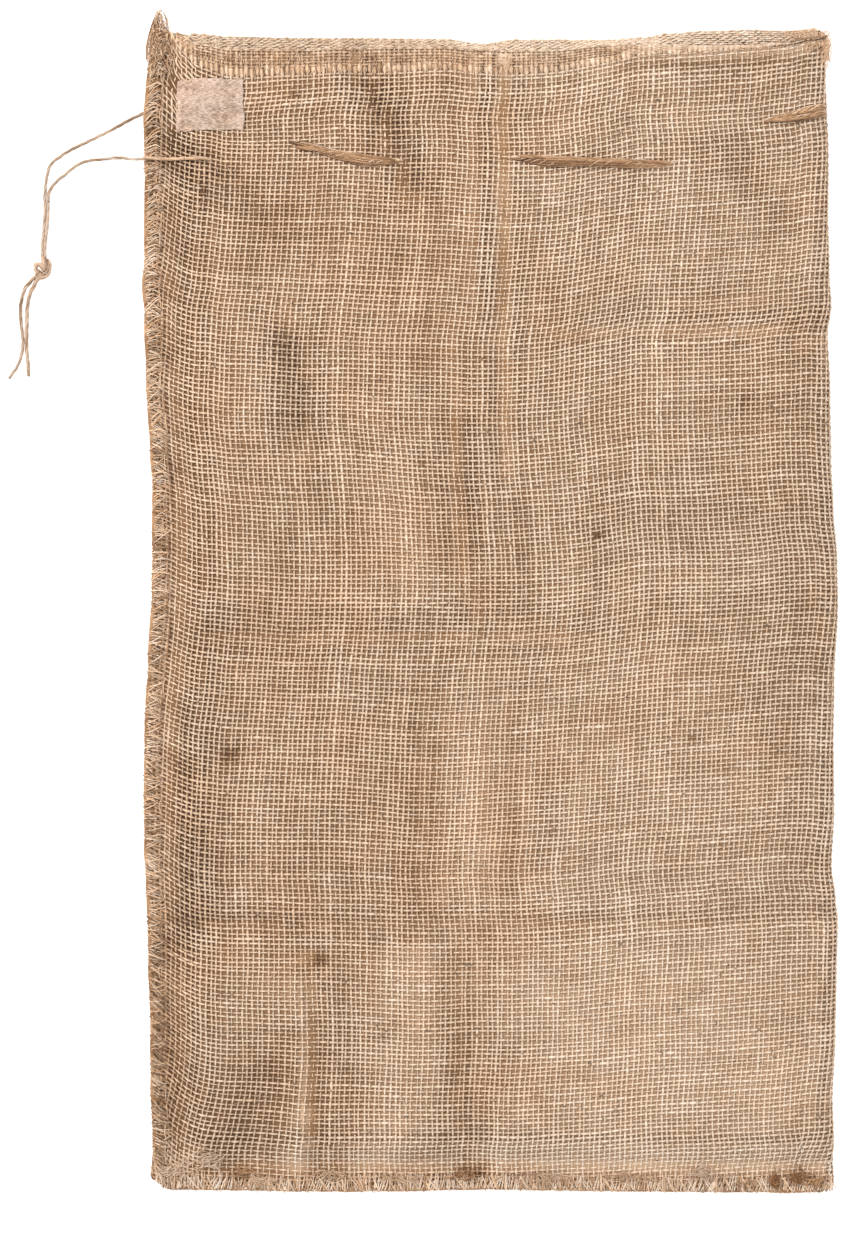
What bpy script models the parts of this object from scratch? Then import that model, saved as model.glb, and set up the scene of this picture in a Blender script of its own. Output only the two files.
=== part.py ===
"""Burlap sack lying empty on its back, with a twine drawstring near its open mouth.

One length of jute cloth is folded along its right side and sewn along its left
side and its foot, so the sack is one hollow piece with an open mouth at +Y.
Lengths in the tables are millimetres; the model is in metres, +Z up, and rests on z = 0.
"""
import math

import bmesh
import bpy
from mathutils import Vector
from mathutils.bvhtree import BVHTree

MM = 0.001

# Cut size and thickness of the cloth.
HALF_WIDTH = 150.0
FOOT_LINE = -258.0
MOUTH_LINE = 246.0
CLOTH = 1.4
SEAM_WIDTH = 8.5
SEAM_THICK = 3.2
SEAM_RISE = 17.0
PUFF = 10.4
FOLD_FLAT = 0.25
GAP = 0.45

# Drawstring.
TWINE = 2.0
DIVE = 3.4
HOLE_GAP = 0.35
SPAN_STEP = 7.5
FLOOR_GAP = 0.15

# Grid lines of the cloth, closer together where it creases.
ACROSS = (
    -150, -146, -141.5, -136, -128, -116, -104, -95, -88, -83, -78, -71, -60, -49, -39,
    -28, -17, -8, 0, 6, 14, 34, 66, 98, 120, 134, 143, 147.2, 149.2, 150,
)
ALONG = (
    -258, -253.5, -249.5, -243, -232, -214, -196, -178, -160, -147, -139, -131, -114,
    -88, -62, -38, -24, -14, -4, 12, 34, 58, 82, 104, 115, 123, 132, 150, 168, 184,
    193, 202, 208, 214, 220, 228, 238, 246,
)

# Side edges of the sack, a row for each station up the length.
SIDES = (
    dict(y=-259, left=-147.0, right=150.8),
    dict(y=-240, left=-147.4, right=150.4),
    dict(y=-218, left=-148.3, right=149.6),
    dict(y=-190, left=-148.4, right=150.9),
    dict(y=-165, left=-149.3, right=151.4),
    dict(y=-139, left=-149.8, right=152.0),
    dict(y=-131, left=-150.3, right=151.0),
    dict(y=-116, left=-151.0, right=149.2),
    dict(y=-92, left=-151.3, right=150.4),
    dict(y=-60, left=-150.9, right=150.0),
    dict(y=-34, left=-149.5, right=150.4),
    dict(y=-4, left=-147.9, right=152.0),
    dict(y=18, left=-147.6, right=151.6),
    dict(y=40, left=-147.4, right=150.0),
    dict(y=62, left=-148.7, right=149.1),
    dict(y=88, left=-150.3, right=148.7),
    dict(y=116, left=-151.0, right=147.7),
    dict(y=130, left=-152.0, right=149.1),
    dict(y=142, left=-151.0, right=148.3),
    dict(y=170, left=-150.9, right=147.8),
    dict(y=197, left=-151.2, right=147.8),
    dict(y=215, left=-150.2, right=147.0),
    dict(y=228, left=-149.0, right=146.6),
    dict(y=246, left=-149.6, right=146.8),
)

# Foot and mouth edges, a row for each station across. The mouth's back edge stands
# a little above its front edge, and the sewn corner on the left ends in an ear.
ENDS = (
    dict(x=-150, foot=-254.2, back=256.5, front=256.5),
    dict(x=-146, foot=-257.2, back=259.0, front=259.0),
    dict(x=-141.5, foot=-257.8, back=257.0, front=257.0),
    dict(x=-136, foot=-257.8, back=248.4, front=247.4),
    dict(x=-127, foot=-257.9, back=247.2, front=242.4),
    dict(x=-113, foot=-258.0, back=246.2, front=240.2),
    dict(x=-83, foot=-258.6, back=245.6, front=239.9),
    dict(x=-61, foot=-258.5, back=245.5, front=240.8),
    dict(x=-39, foot=-258.4, back=245.4, front=240.9),
    dict(x=-20, foot=-257.9, back=245.1, front=241.0),
    dict(x=-4, foot=-257.6, back=243.1, front=239.8),
    dict(x=12, foot=-257.9, back=245.0, front=239.7),
    dict(x=28, foot=-258.1, back=244.9, front=239.8),
    dict(x=52, foot=-258.4, back=244.8, front=241.8),
    dict(x=66, foot=-258.5, back=245.8, front=242.6),
    dict(x=78, foot=-258.6, back=247.5, front=242.0),
    dict(x=94, foot=-258.8, back=248.7, front=241.6),
    dict(x=113, foot=-258.9, back=249.2, front=241.8),
    dict(x=132, foot=-259.0, back=248.8, front=242.8),
    dict(x=143, foot=-258.9, back=249.9, front=244.6),
    dict(x=148, foot=-258.5, back=249.0, front=245.4),
    dict(x=150, foot=-257.0, back=246.6, front=245.4),
)

# Folds of the front layer: each runs from one end to the other, with a half width
# and a rise, which is below zero for a trough.
FRONT_FOLDS = (
    dict(start=(-60, 240), end=(-35, 178), width=6.5, rise=-2.2),
    dict(start=(-2, 250), end=(-2, 128), width=4.5, rise=1.0),
    dict(start=(6, 240), end=(6, 56), width=4.0, rise=-1.0),
    dict(start=(-134, 205), end=(-98, 165), width=9.0, rise=-1.4),
    dict(start=(-86, 122), end=(-82, 66), width=8.0, rise=-2.1),
    dict(start=(-20, 124), end=(-15, 90), width=8.0, rise=-1.1),
    dict(start=(-17, 80), end=(-8, -4), width=5.5, rise=-1.7),
    dict(start=(30, 116), end=(150, 118), width=5.0, rise=-0.9),
    dict(start=(134, 113), end=(150, 113), width=6.0, rise=-1.2),
    dict(start=(78, 125), end=(122, 125), width=5.0, rise=0.7),
    dict(start=(-140, -14), end=(30, -14), width=7.0, rise=-1.6),
    dict(start=(60, -8), end=(150, -8), width=9.0, rise=-0.9),
    dict(start=(-11, -40), end=(-12, -132), width=9.0, rise=1.4),
    dict(start=(-31, -42), end=(-28, -124), width=8.0, rise=-1.1),
    dict(start=(9, -42), end=(12, -124), width=7.0, rise=-0.8),
    dict(start=(-145, -140), end=(-95, -139), width=5.5, rise=-1.4),
    dict(start=(-80, -139), end=(150, -138), width=5.0, rise=-1.0),
    dict(start=(-83, -160), end=(-83, -256), width=3.6, rise=2.2),
    dict(start=(-75, -172), end=(-76, -256), width=5.0, rise=-1.5),
    dict(start=(-104, -205), end=(-106, -252), width=12.0, rise=-1.2),
    dict(start=(-10, -150), end=(-11, -256), width=8.5, rise=-1.8),
)

# Fullness of the front layer between its folds.
FRONT_PUFFS = (
    dict(x=70, y=180, across=60, along=35, rise=0.9),
    dict(x=-55, y=150, across=30, along=25, rise=0.6),
    dict(x=80, y=60, across=55, along=40, rise=0.9),
    dict(x=-110, y=40, across=25, along=40, rise=0.5),
    dict(x=80, y=-75, across=60, along=40, rise=0.8),
    dict(x=-95, y=-80, across=35, along=40, rise=0.6),
    dict(x=80, y=-200, across=60, along=35, rise=1.0),
    dict(x=-45, y=-205, across=18, along=35, rise=0.7),
)

# The back layer lies flat, but lifts at its creases and over the twine beneath it.
BACK_FOLDS = (
    dict(start=(-140, 124), end=(140, 122), width=5.0, rise=0.5),
    dict(start=(-140, -14), end=(140, -14), width=5.0, rise=0.5),
    dict(start=(-140, -139), end=(140, -139), width=5.0, rise=0.5),
)
TWINE_LIFT = dict(width=8.0, rise=3.3)

# Where the drawstring passes through the cloth: it runs over the front layer between
# the paired places, and under the back layer between the next pairs.
FRONT_STITCHES = (
    dict(start=(-160.0, 193.8), end=(-122.5, 192.8)),
    dict(start=(-85.0, 197.6), end=(-40.0, 191.9)),
    dict(start=(12.0, 193.6), end=(79.0, 190.6)),
    dict(start=(121.0, 208.8), end=(160.0, 214.0)),
)
BACK_STITCHES = (
    dict(start=(160.0, 214.0), end=(116.0, 213.0)),
    dict(start=(72.0, 212.6), end=(28.0, 213.4)),
    dict(start=(-22.0, 214.0), end=(-66.0, 213.0)),
    dict(start=(-118.0, 212.8), end=(-160.0, 214.0)),
)

# Free ends of the drawstring on the surface, hand placed from the sack's edge outwards:
# x, y and the height of the twine's middle. The lower leg comes down off the seam, and
# all four rise to the knot between them.
UPPER_LEG = (
    (-152.5, 214.1, 1.15), (-157.6, 211.9, 1.15), (-164.2, 208.2, 1.15),
    (-170.5, 204.6, 1.15), (-176.4, 201.6, 1.15), (-182.3, 198.9, 1.15),
    (-188.0, 196.1, 1.15), (-192.3, 192.9, 1.15), (-194.6, 188.6, 1.15),
    (-195.3, 183.6, 1.15), (-195.0, 177.3, 1.15), (-195.2, 169.9, 1.15),
    (-195.7, 162.0, 1.2), (-196.6, 155.8, 1.6), (-197.9, 150.7, 2.75),
)
LOWER_LEG = (
    (-152.65, 193.8, 4.45), (-154.5, 193.9, 3.1), (-157.2, 194.1, 1.5),
    (-161.0, 194.2, 1.15), (-165.6, 194.2, 1.15), (-170.5, 193.9, 1.15),
    (-176.4, 193.0, 1.15), (-181.6, 190.8, 1.15), (-186.0, 187.4, 1.15),
    (-189.4, 183.4, 1.15), (-191.7, 178.8, 1.15), (-192.6, 173.4, 1.15),
    (-192.7, 167.6, 1.15), (-193.0, 161.2, 1.2), (-193.9, 155.6, 1.6),
    (-195.3, 150.5, 2.75),
)
LEFT_TAIL = (
    (-200.9, 142.4, 2.75), (-204.4, 137.6, 1.5), (-206.7, 131.8, 1.15),
    (-207.4, 125.6, 1.15), (-207.0, 119.4, 1.15), (-206.2, 113.4, 1.15),
    (-206.8, 107.4, 1.15), (-208.8, 102.2, 1.15), (-211.2, 97.4, 1.15),
)
RIGHT_TAIL = (
    (-199.1, 140.8, 2.75), (-202.0, 135.8, 1.5), (-204.3, 130.6, 1.15),
    (-204.9, 125.0, 1.15), (-204.5, 118.8, 1.15), (-203.5, 113.0, 1.15),
    (-202.5, 107.8, 1.15), (-202.0, 103.0, 1.15), (-202.2, 98.4, 1.15),
)
KNOT = dict(x=-197.2, y=145.8, wide=9.0, long=8.8, tall=5.2, turn=-28.0)

# Bare label, sewn flat on the front layer near the mouth.
LABEL = dict(left=-137.0, right=-107.6, low=204.9, high=227.6, thick=1.0, gap=0.65, cells=(12, 6))

COLOURS = dict(
    jute=(0.47, 0.32, 0.20),
    twine=(0.50, 0.36, 0.23),
    label=(0.66, 0.50, 0.38),
)


def clamp(value, low=0.0, high=1.0):
    return min(max(value, low), high)


def ease(value):
    """Smooth step from 0 to 1."""
    value = clamp(value)
    return value * value * (3 - 2 * value)


def read_table(rows, key, column, at):
    """Value of a column at a station, smooth between the table's rows."""
    if at <= rows[0][key]:
        return rows[0][column]
    for low, high in zip(rows, rows[1:]):
        if at <= high[key]:
            share = (at - low[key]) / (high[key] - low[key])
            return low[column] + (high[column] - low[column]) * ease(share)
    return rows[-1][column]


def fold_height(folds, x, y):
    """Sum of the folds' soft troughs and ridges at a place."""
    height = 0.0
    for fold in folds:
        start, end = Vector(fold["start"]), Vector(fold["end"])
        run = end - start
        along = clamp((Vector((x, y)) - start).dot(run) / run.length_squared)
        away = (Vector((x, y)) - start - run * along).length
        height += fold["rise"] * math.exp(-((away / fold["width"]) ** 2))
    return height


def puff_height(x, y):
    height = 0.0
    for puff in FRONT_PUFFS:
        across = (x - puff["x"]) / puff["across"]
        along = (y - puff["y"]) / puff["along"]
        height += puff["rise"] * math.exp(-(across**2) - along**2)
    return height


def front_height(x, y, placed):
    """Top of the front layer, without the rounding at the folded side. The seams keep
    their thickness where the back layer is lifted by the twine."""
    left = ease((x + HALF_WIDTH - SEAM_WIDTH) / SEAM_RISE)
    foot = ease((y - FOOT_LINE - SEAM_WIDTH) / SEAM_RISE)
    seam = SEAM_THICK + back_height(placed)
    full = PUFF + fold_height(FRONT_FOLDS, *placed) + puff_height(*placed)
    return seam + (full - seam) * left * foot


def back_height(placed):
    """Underside of the back layer: flat but for its creases and the twine."""
    lifts = [dict(stitch, **TWINE_LIFT) for stitch in BACK_STITCHES]
    twine = min(fold_height(lifts, *placed), TWINE_LIFT["rise"])
    return max(twine, fold_height(BACK_FOLDS, *placed))


def fold_share(distance, radius):
    """How much of the sack's depth is open this far in from its folded side."""
    share = clamp(distance / radius)
    return FOLD_FLAT + (1 - FOLD_FLAT) * math.sqrt(1 - (1 - share) ** 2)


def place(x, y, edge):
    """Where a place on the flat cloth lies within the sack's uneven outline."""
    left = read_table(SIDES, "y", "left", y)
    right = read_table(SIDES, "y", "right", y)
    foot = read_table(ENDS, "x", "foot", x)
    mouth = read_table(ENDS, "x", edge, x)
    across = (x + HALF_WIDTH) / (2 * HALF_WIDTH)
    along = (y - FOOT_LINE) / (MOUTH_LINE - FOOT_LINE)
    return left + (right - left) * across, foot + (mouth - foot) * along


def cloth_point(x, y, front, inset):
    """A point of the sack's skin, inset from its outer face by this much."""
    placed = place(x, y, "front" if front else "back")
    top, bottom = front_height(x, y, placed), back_height(placed)
    middle = (top + bottom) / 2
    depth = (top - bottom) / 2 - inset
    share = fold_share(HALF_WIDTH - inset - x, depth)
    return Vector((*placed, middle + depth * share * (1 if front else -1))) * MM


def make_object(name, mesh, colour, collection):
    """An object with its own plain material, shaded smooth."""
    thing = bpy.data.objects.new(name, mesh)
    material = bpy.data.materials.new(name)
    material.use_nodes = True
    shader = material.node_tree.nodes["Principled BSDF"]
    shader.inputs["Base Color"].default_value = (*COLOURS[colour], 1)
    shader.inputs["Roughness"].default_value = 0.95
    shader.inputs["Metallic"].default_value = 0.0
    mesh.materials.clear()
    mesh.materials.append(material)
    collection.objects.link(thing)
    return thing


def grid_slab(name, across, along, point):
    """A closed slab: a grid for the lower side, extruded to the upper side."""
    mesh = bpy.data.meshes.new(name)
    shape = bmesh.new()
    bmesh.ops.create_grid(
        shape, x_segments=len(across) - 1, y_segments=len(along) - 1, size=0.5
    )
    raised = bmesh.ops.extrude_face_region(shape, geom=shape.faces[:])["geom"]
    upper = {corner for corner in raised if isinstance(corner, bmesh.types.BMVert)}
    for corner in shape.verts:
        column = round((corner.co.x + 0.5) * (len(across) - 1))
        row = round((corner.co.y + 0.5) * (len(along) - 1))
        corner.co = point(across[column], along[row], corner in upper)
    bmesh.ops.recalc_face_normals(shape, faces=shape.faces[:])
    shape.to_mesh(mesh)
    shape.free()
    mesh.shade_smooth()
    mesh.set_sharp_from_angle(angle=math.radians(50))
    return mesh


def make_sack(model, cutters):
    """Outer form of the sack, less the hollow between its two layers."""
    outer = grid_slab("sack_cloth", ACROSS, ALONG, lambda x, y, up: cloth_point(x, y, up, 0))
    sack = make_object("sack_cloth", outer, "jute", model)
    seam_end = -HALF_WIDTH + SEAM_WIDTH
    fold_end = HALF_WIDTH - CLOTH
    across = [x for x in ACROSS if seam_end < x < fold_end - 1] + [fold_end - 0.5, fold_end]
    along = [y for y in ALONG if y > FOOT_LINE + SEAM_WIDTH] + [MOUTH_LINE + 6]
    inner = grid_slab("hollow", across, along, lambda x, y, up: cloth_point(x, y, up, CLOTH))
    hollow = make_object("hollow", inner, "jute", cutters)
    cut(sack, hollow)
    return sack


def cut(thing, cutter):
    """Takes a cutter, shown as wire, out of a piece."""
    cutter.hide_render = True
    cutter.display_type = "WIRE"
    difference = thing.modifiers.new("less_" + cutter.name, "BOOLEAN")
    difference.operation = "DIFFERENCE"
    difference.solver = "EXACT"
    difference.object = cutter


def surface_finder(thing):
    """A function that finds the height of a piece's skin above or below a place."""
    bpy.context.view_layer.update()
    evaluated = thing.evaluated_get(bpy.context.evaluated_depsgraph_get())
    tree = BVHTree.FromObject(evaluated, bpy.context.evaluated_depsgraph_get())
    far = 50 * MM

    def find(x, y, from_above, floor=0.0):
        start = Vector((x * MM, y * MM, far if from_above else -far))
        hit = tree.ray_cast(start, Vector((0, 0, -1 if from_above else 1)))[0]
        return hit.z / MM if hit else floor

    return find


def smooth_route(points, step):
    """Points along a smooth curve through a route, about a step apart."""
    points = [Vector(point) for point in points]
    ends = [2 * points[0] - points[1], *points, 2 * points[-1] - points[-2]]
    route = []
    for before, start, end, after in zip(ends, ends[1:], ends[2:], ends[3:]):
        count = max(1, round((end - start).length / step))
        for index in range(count):
            t = index / count
            # Cubic that leaves each point in line with its two neighbours.
            route.append(
                start
                + (end - before) * (t / 2)
                + (2 * before - 5 * start + 4 * end - after) * (t * t / 2)
                + (3 * start - before - 3 * end + after) * (t**3 / 2)
            )
    return [*route, points[-1]]


def tube_mesh(name, route, width):
    """A closed tube along a route, as a mesh."""
    curve = bpy.data.curves.new(name, "CURVE")
    curve.dimensions = "3D"
    curve.bevel_depth = width / 2 * MM
    curve.bevel_resolution = 2
    curve.use_fill_caps = True
    spline = curve.splines.new("POLY")
    spline.points.add(len(route) - 1)
    for corner, point in zip(spline.points, route):
        corner.co = (*(point * MM), 1)
    holder = bpy.data.objects.new(name, curve)
    bpy.context.scene.collection.objects.link(holder)
    bpy.context.view_layer.update()
    evaluated = holder.evaluated_get(bpy.context.evaluated_depsgraph_get())
    mesh = bpy.data.meshes.new_from_object(evaluated)
    bpy.data.objects.remove(holder)
    bpy.data.curves.remove(curve)
    shape = bmesh.new()
    shape.from_mesh(mesh)
    bmesh.ops.remove_doubles(shape, verts=shape.verts[:], dist=0.00001)
    shape.to_mesh(mesh)
    shape.free()
    mesh.shade_smooth()
    mesh.set_sharp_from_angle(angle=math.radians(50))
    return mesh


def stitch_points(stitches, over, inside):
    """Route of a running stitch: over or under the cloth along each stitch, and
    inside the sack between one stitch and the next."""
    points = []
    for stitch in stitches:
        start, end = Vector(stitch["start"]), Vector(stitch["end"])
        step = (end - start).normalized() * DIVE
        ends = [start + step, end - step]
        for share in (0, 0.25, 0.5, 0.75, 1):
            points.append(over(*ends[0].lerp(ends[1], share)))
        if stitch is not stitches[-1]:
            following = stitches[stitches.index(stitch) + 1]
            begin, finish = end + step, Vector(following["start"]) - step
            for share in (0, 0.5, 1):
                points.append(inside(*begin.lerp(finish, share)))
    return points


def make_drawstring(model, cutters, sack):
    """The threaded run: over and under the front layer, round the folded side, and
    back again through the back layer, out past the sewn side at both ends."""
    skin = surface_finder(sack)
    half = TWINE / 2
    lead = half + GAP
    ground = half + FLOOR_GAP
    left_side = read_table(SIDES, "y", "left", 200)
    right_side = read_table(SIDES, "y", "right", 214)

    def over_front(x, y):
        return Vector((x, y, skin(x, y, True) + lead))

    def below_front(x, y):
        return Vector((x, y, skin(x, y, True) - CLOTH - lead))

    def under_back(x, y):
        return Vector((x, y, ground))

    def above_back(x, y):
        return Vector((x, y, skin(x, y, False) + CLOTH + lead))

    # The outermost stitches run past the sack's sides, where the twine's own bends follow.
    front = stitch_points(FRONT_STITCHES, over_front, below_front)
    back = stitch_points(BACK_STITCHES, under_back, above_back)
    outer_right = right_side + lead
    front = [point for point in front if left_side + 4 < point.x < right_side - 6]
    back = [point for point in back if left_side + 4 < point.x < right_side - 6]
    rise = [
        Vector((left_side - 0.7, 193.8, SEAM_THICK + lead)),
        Vector((left_side + 1.6, 193.8, SEAM_THICK + lead + 0.1)),
    ]
    turn = [
        Vector((right_side - 3.2, 212.9, PUFF + lead - 0.4)),
        Vector((outer_right - 0.1, 213.5, PUFF - 3.2)),
        Vector((outer_right + 0.1, 213.8, PUFF / 2 - 0.6)),
        Vector((outer_right - 1.6, 213.9, 2.0)),
        Vector((right_side - 3.4, 213.9, ground)),
    ]
    leave = [Vector((left_side - 0.6, 214.1, ground))]
    route = smooth_route(rise + front + turn + back + leave, SPAN_STEP)
    make_object("drawstring_run", tube_mesh("run", route, TWINE), "twine", model)
    clearance = tube_mesh("clearance", route, TWINE + 2 * HOLE_GAP)
    cut(sack, make_object("twine_holes", clearance, "twine", cutters))


def make_free_ends(model):
    """The two legs from the sack to the knot, and the two tails beyond it."""
    for name, path in (
        ("drawstring_upper_leg", UPPER_LEG),
        ("drawstring_lower_leg", LOWER_LEG),
        ("drawstring_left_tail", LEFT_TAIL),
        ("drawstring_right_tail", RIGHT_TAIL),
    ):
        route = smooth_route(path, 2.5 * TWINE)
        make_object(name, tube_mesh(name, route, TWINE), "twine", model)


def make_knot(model):
    """The knot's outer form: a squeezed ball with a waist between its two turns."""
    mesh = bpy.data.meshes.new("knot")
    shape = bmesh.new()
    bmesh.ops.create_uvsphere(shape, u_segments=16, v_segments=10, radius=0.5)
    for corner in shape.verts:
        waist = 1 - 0.14 * math.exp(-((corner.co.y / 0.12) ** 2))
        corner.co.x *= waist * KNOT["wide"] * MM
        corner.co.y *= KNOT["long"] * MM
        corner.co.z *= waist * KNOT["tall"] * MM
    shape.to_mesh(mesh)
    shape.free()
    mesh.shade_smooth()
    knot = make_object("drawstring_knot", mesh, "twine", model)
    height = KNOT["tall"] / 2 + FLOOR_GAP
    knot.location = Vector((KNOT["x"], KNOT["y"], height)) * MM
    knot.rotation_euler.z = math.radians(KNOT["turn"])


def make_label(model, sack):
    """A small bare patch that follows the front layer just beneath it."""
    skin = surface_finder(sack)
    columns, rows = LABEL["cells"]
    width = LABEL["right"] - LABEL["left"]
    height = LABEL["high"] - LABEL["low"]
    across = [LABEL["left"] + width * step / columns for step in range(columns + 1)]
    along = [LABEL["low"] + height * step / rows for step in range(rows + 1)]

    def point(x, y, up):
        return Vector((x, y, skin(x, y, True) + LABEL["gap"] + LABEL["thick"] * up)) * MM

    make_object("label_patch", grid_slab("label", across, along, point), "label", model)


def make_collection(name):
    collection = bpy.data.collections.new(name)
    bpy.context.scene.collection.children.link(collection)
    return collection


def main():
    for thing in list(bpy.data.objects):
        bpy.data.objects.remove(thing)
    model = make_collection("burlap_sack")
    cutters = make_collection("cutters")
    sack = make_sack(model, cutters)
    make_label(model, sack)
    make_drawstring(model, cutters, sack)
    make_free_ends(model)
    make_knot(model)


main()
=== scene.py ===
import math

import bpy
import numpy as np
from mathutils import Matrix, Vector


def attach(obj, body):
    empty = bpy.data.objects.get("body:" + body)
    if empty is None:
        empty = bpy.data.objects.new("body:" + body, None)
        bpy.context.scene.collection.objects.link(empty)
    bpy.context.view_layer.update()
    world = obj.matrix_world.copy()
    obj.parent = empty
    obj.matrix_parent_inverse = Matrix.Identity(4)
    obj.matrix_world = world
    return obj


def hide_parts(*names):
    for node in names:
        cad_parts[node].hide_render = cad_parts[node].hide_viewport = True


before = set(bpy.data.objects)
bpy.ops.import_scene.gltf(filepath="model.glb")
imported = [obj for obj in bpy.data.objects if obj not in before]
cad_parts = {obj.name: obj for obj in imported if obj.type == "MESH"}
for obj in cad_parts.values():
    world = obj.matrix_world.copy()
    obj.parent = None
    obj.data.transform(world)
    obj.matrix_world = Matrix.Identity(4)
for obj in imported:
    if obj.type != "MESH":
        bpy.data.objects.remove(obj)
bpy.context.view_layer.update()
mm = 0.001
print("frame loaded")


# Smooth step: v squared times three less two v, with v held between 0 and 1.
def ease(v):
    v = np.clip(v, 0.0, 1.0)
    return v * v * (3 - 2 * v)


# Value of a table at any station: each row is eased into the next, and flat past the ends.
def eased(stations, values, at):
    at = np.asarray(at, float)
    low = np.clip(np.searchsorted(stations, at) - 1, 0, len(stations) - 2)
    share = ease((at - stations[low]) / (stations[low + 1] - stations[low]))
    return values[low] + (values[low + 1] - values[low]) * share


# Value of a table that flows evenly: the straight line between its rows, averaged over a
# little way to each side.
def flowing(rows, at, soften):
    stations, values = np.array(rows).T
    ways = np.linspace(-soften, soften, 5)
    return sum(np.interp(at + way, stations, values) for way in ways) / len(ways)


# Soft random field from -1 to 1: random numbers on a coarse net, eased between the four
# corners of the cell that (u, v) lies in. u and v are counted in cells.
def softField(u, v, seed):
    u, v = np.broadcast_arrays(u + 40.0, v + 40.0)
    net = np.random.default_rng(seed).uniform(-1, 1, (int(u.max()) + 3, int(v.max()) + 3))
    i, j = u.astype(int), v.astype(int)
    a, b = ease(u - i), ease(v - j)
    low = net[i, j] * (1 - a) + net[i + 1, j] * a
    high = net[i, j + 1] * (1 - a) + net[i + 1, j + 1] * a
    return low * (1 - b) + high * b


# A rounded mound, 1 in its middle: e to the minus squares of the distances over the half sizes.
def mound(x, y, middleX, middleY, wideX, wideY):
    return np.exp(-(((x - middleX) / wideX) ** 2) - ((y - middleY) / wideY) ** 2)


# Every vector of an array divided by its own length.
def unit(vectors):
    return vectors / np.maximum(np.linalg.norm(vectors, axis=-1, keepdims=True), 1e-12)


# A named thing of some data, placed in the scene with its origin at the world's.
def putThing(name, data):
    thing = bpy.data.objects.new(name, data)
    bpy.context.scene.collection.objects.link(thing)
    return thing


camera = dict(x=-0.0295, y=-0.0100, height=0.545, lens=100.0, sensor=36.0, middle=0.006)


# Straight down, from where the long side of the sensor takes in the height at the sack's middle.
def makeCamera():
    data = bpy.data.cameras.new("camera")
    data.lens = camera["lens"]
    data.sensor_width = camera["sensor"]
    thing = putThing("camera", data)
    far = camera["height"] * camera["lens"] / camera["sensor"]
    thing.location = (camera["x"], camera["y"], far + camera["middle"])
    bpy.context.scene.camera = thing


makeCamera()

noTriangles = np.zeros((0, 3), int)


# A mesh from whole arrays: points in metres, four-sided and three-sided faces, a number for each
# point in each named attribute, and a place on the bake map for each face corner.
def putMesh(name, points, quads, triangles, marks, bakeMap):
    def flat(values, kind=np.float32):
        return np.ascontiguousarray(values, kind).ravel()

    mesh = bpy.data.meshes.new(name)
    corners = np.concatenate([quads.ravel(), triangles.ravel()])
    starts = np.concatenate([np.arange(len(quads)) * 4, quads.size + np.arange(len(triangles)) * 3])
    mesh.vertices.add(len(points))
    mesh.vertices.foreach_set("co", flat(points))
    mesh.loops.add(len(corners))
    mesh.loops.foreach_set("vertex_index", flat(corners, np.int32))
    mesh.polygons.add(len(starts))
    mesh.polygons.foreach_set("loop_start", flat(starts, np.int32))
    mesh.update(calc_edges=True)
    mesh.polygons.foreach_set("use_smooth", np.ones(len(starts), bool))
    for mark, values in marks.items():
        mesh.attributes.new(mark, "FLOAT", "POINT").data.foreach_set("value", flat(values))
    mesh.uv_layers.new(name="OFBake").data.foreach_set("uv", flat(bakeMap))
    mesh.update()
    print(name, len(quads) * 2 + len(triangles), "triangles")
    return putThing(name, mesh)


# Only the points that some face uses, with the faces renumbered to match.
def onlyUsed(points, quads, triangles, marks):
    corners = np.concatenate([quads.ravel(), triangles.ravel()])
    used, renumbered = np.unique(corners, return_inverse=True)
    quads, triangles = renumbered[: quads.size].reshape(-1, 4), renumbered[quads.size :].reshape(-1, 3)
    return points[used], quads, triangles, {k: v[used] for k, v in marks.items()}


# Four-sided faces over a net of points, with the points' numbers.
def netFaces(shape):
    number = np.arange(shape[0] * shape[1]).reshape(shape)
    corners = [number[:-1, :-1], number[1:, :-1], number[1:, 1:], number[:-1, 1:]]
    return number, np.stack(corners, axis=-1).reshape(-1, 4)


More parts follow.
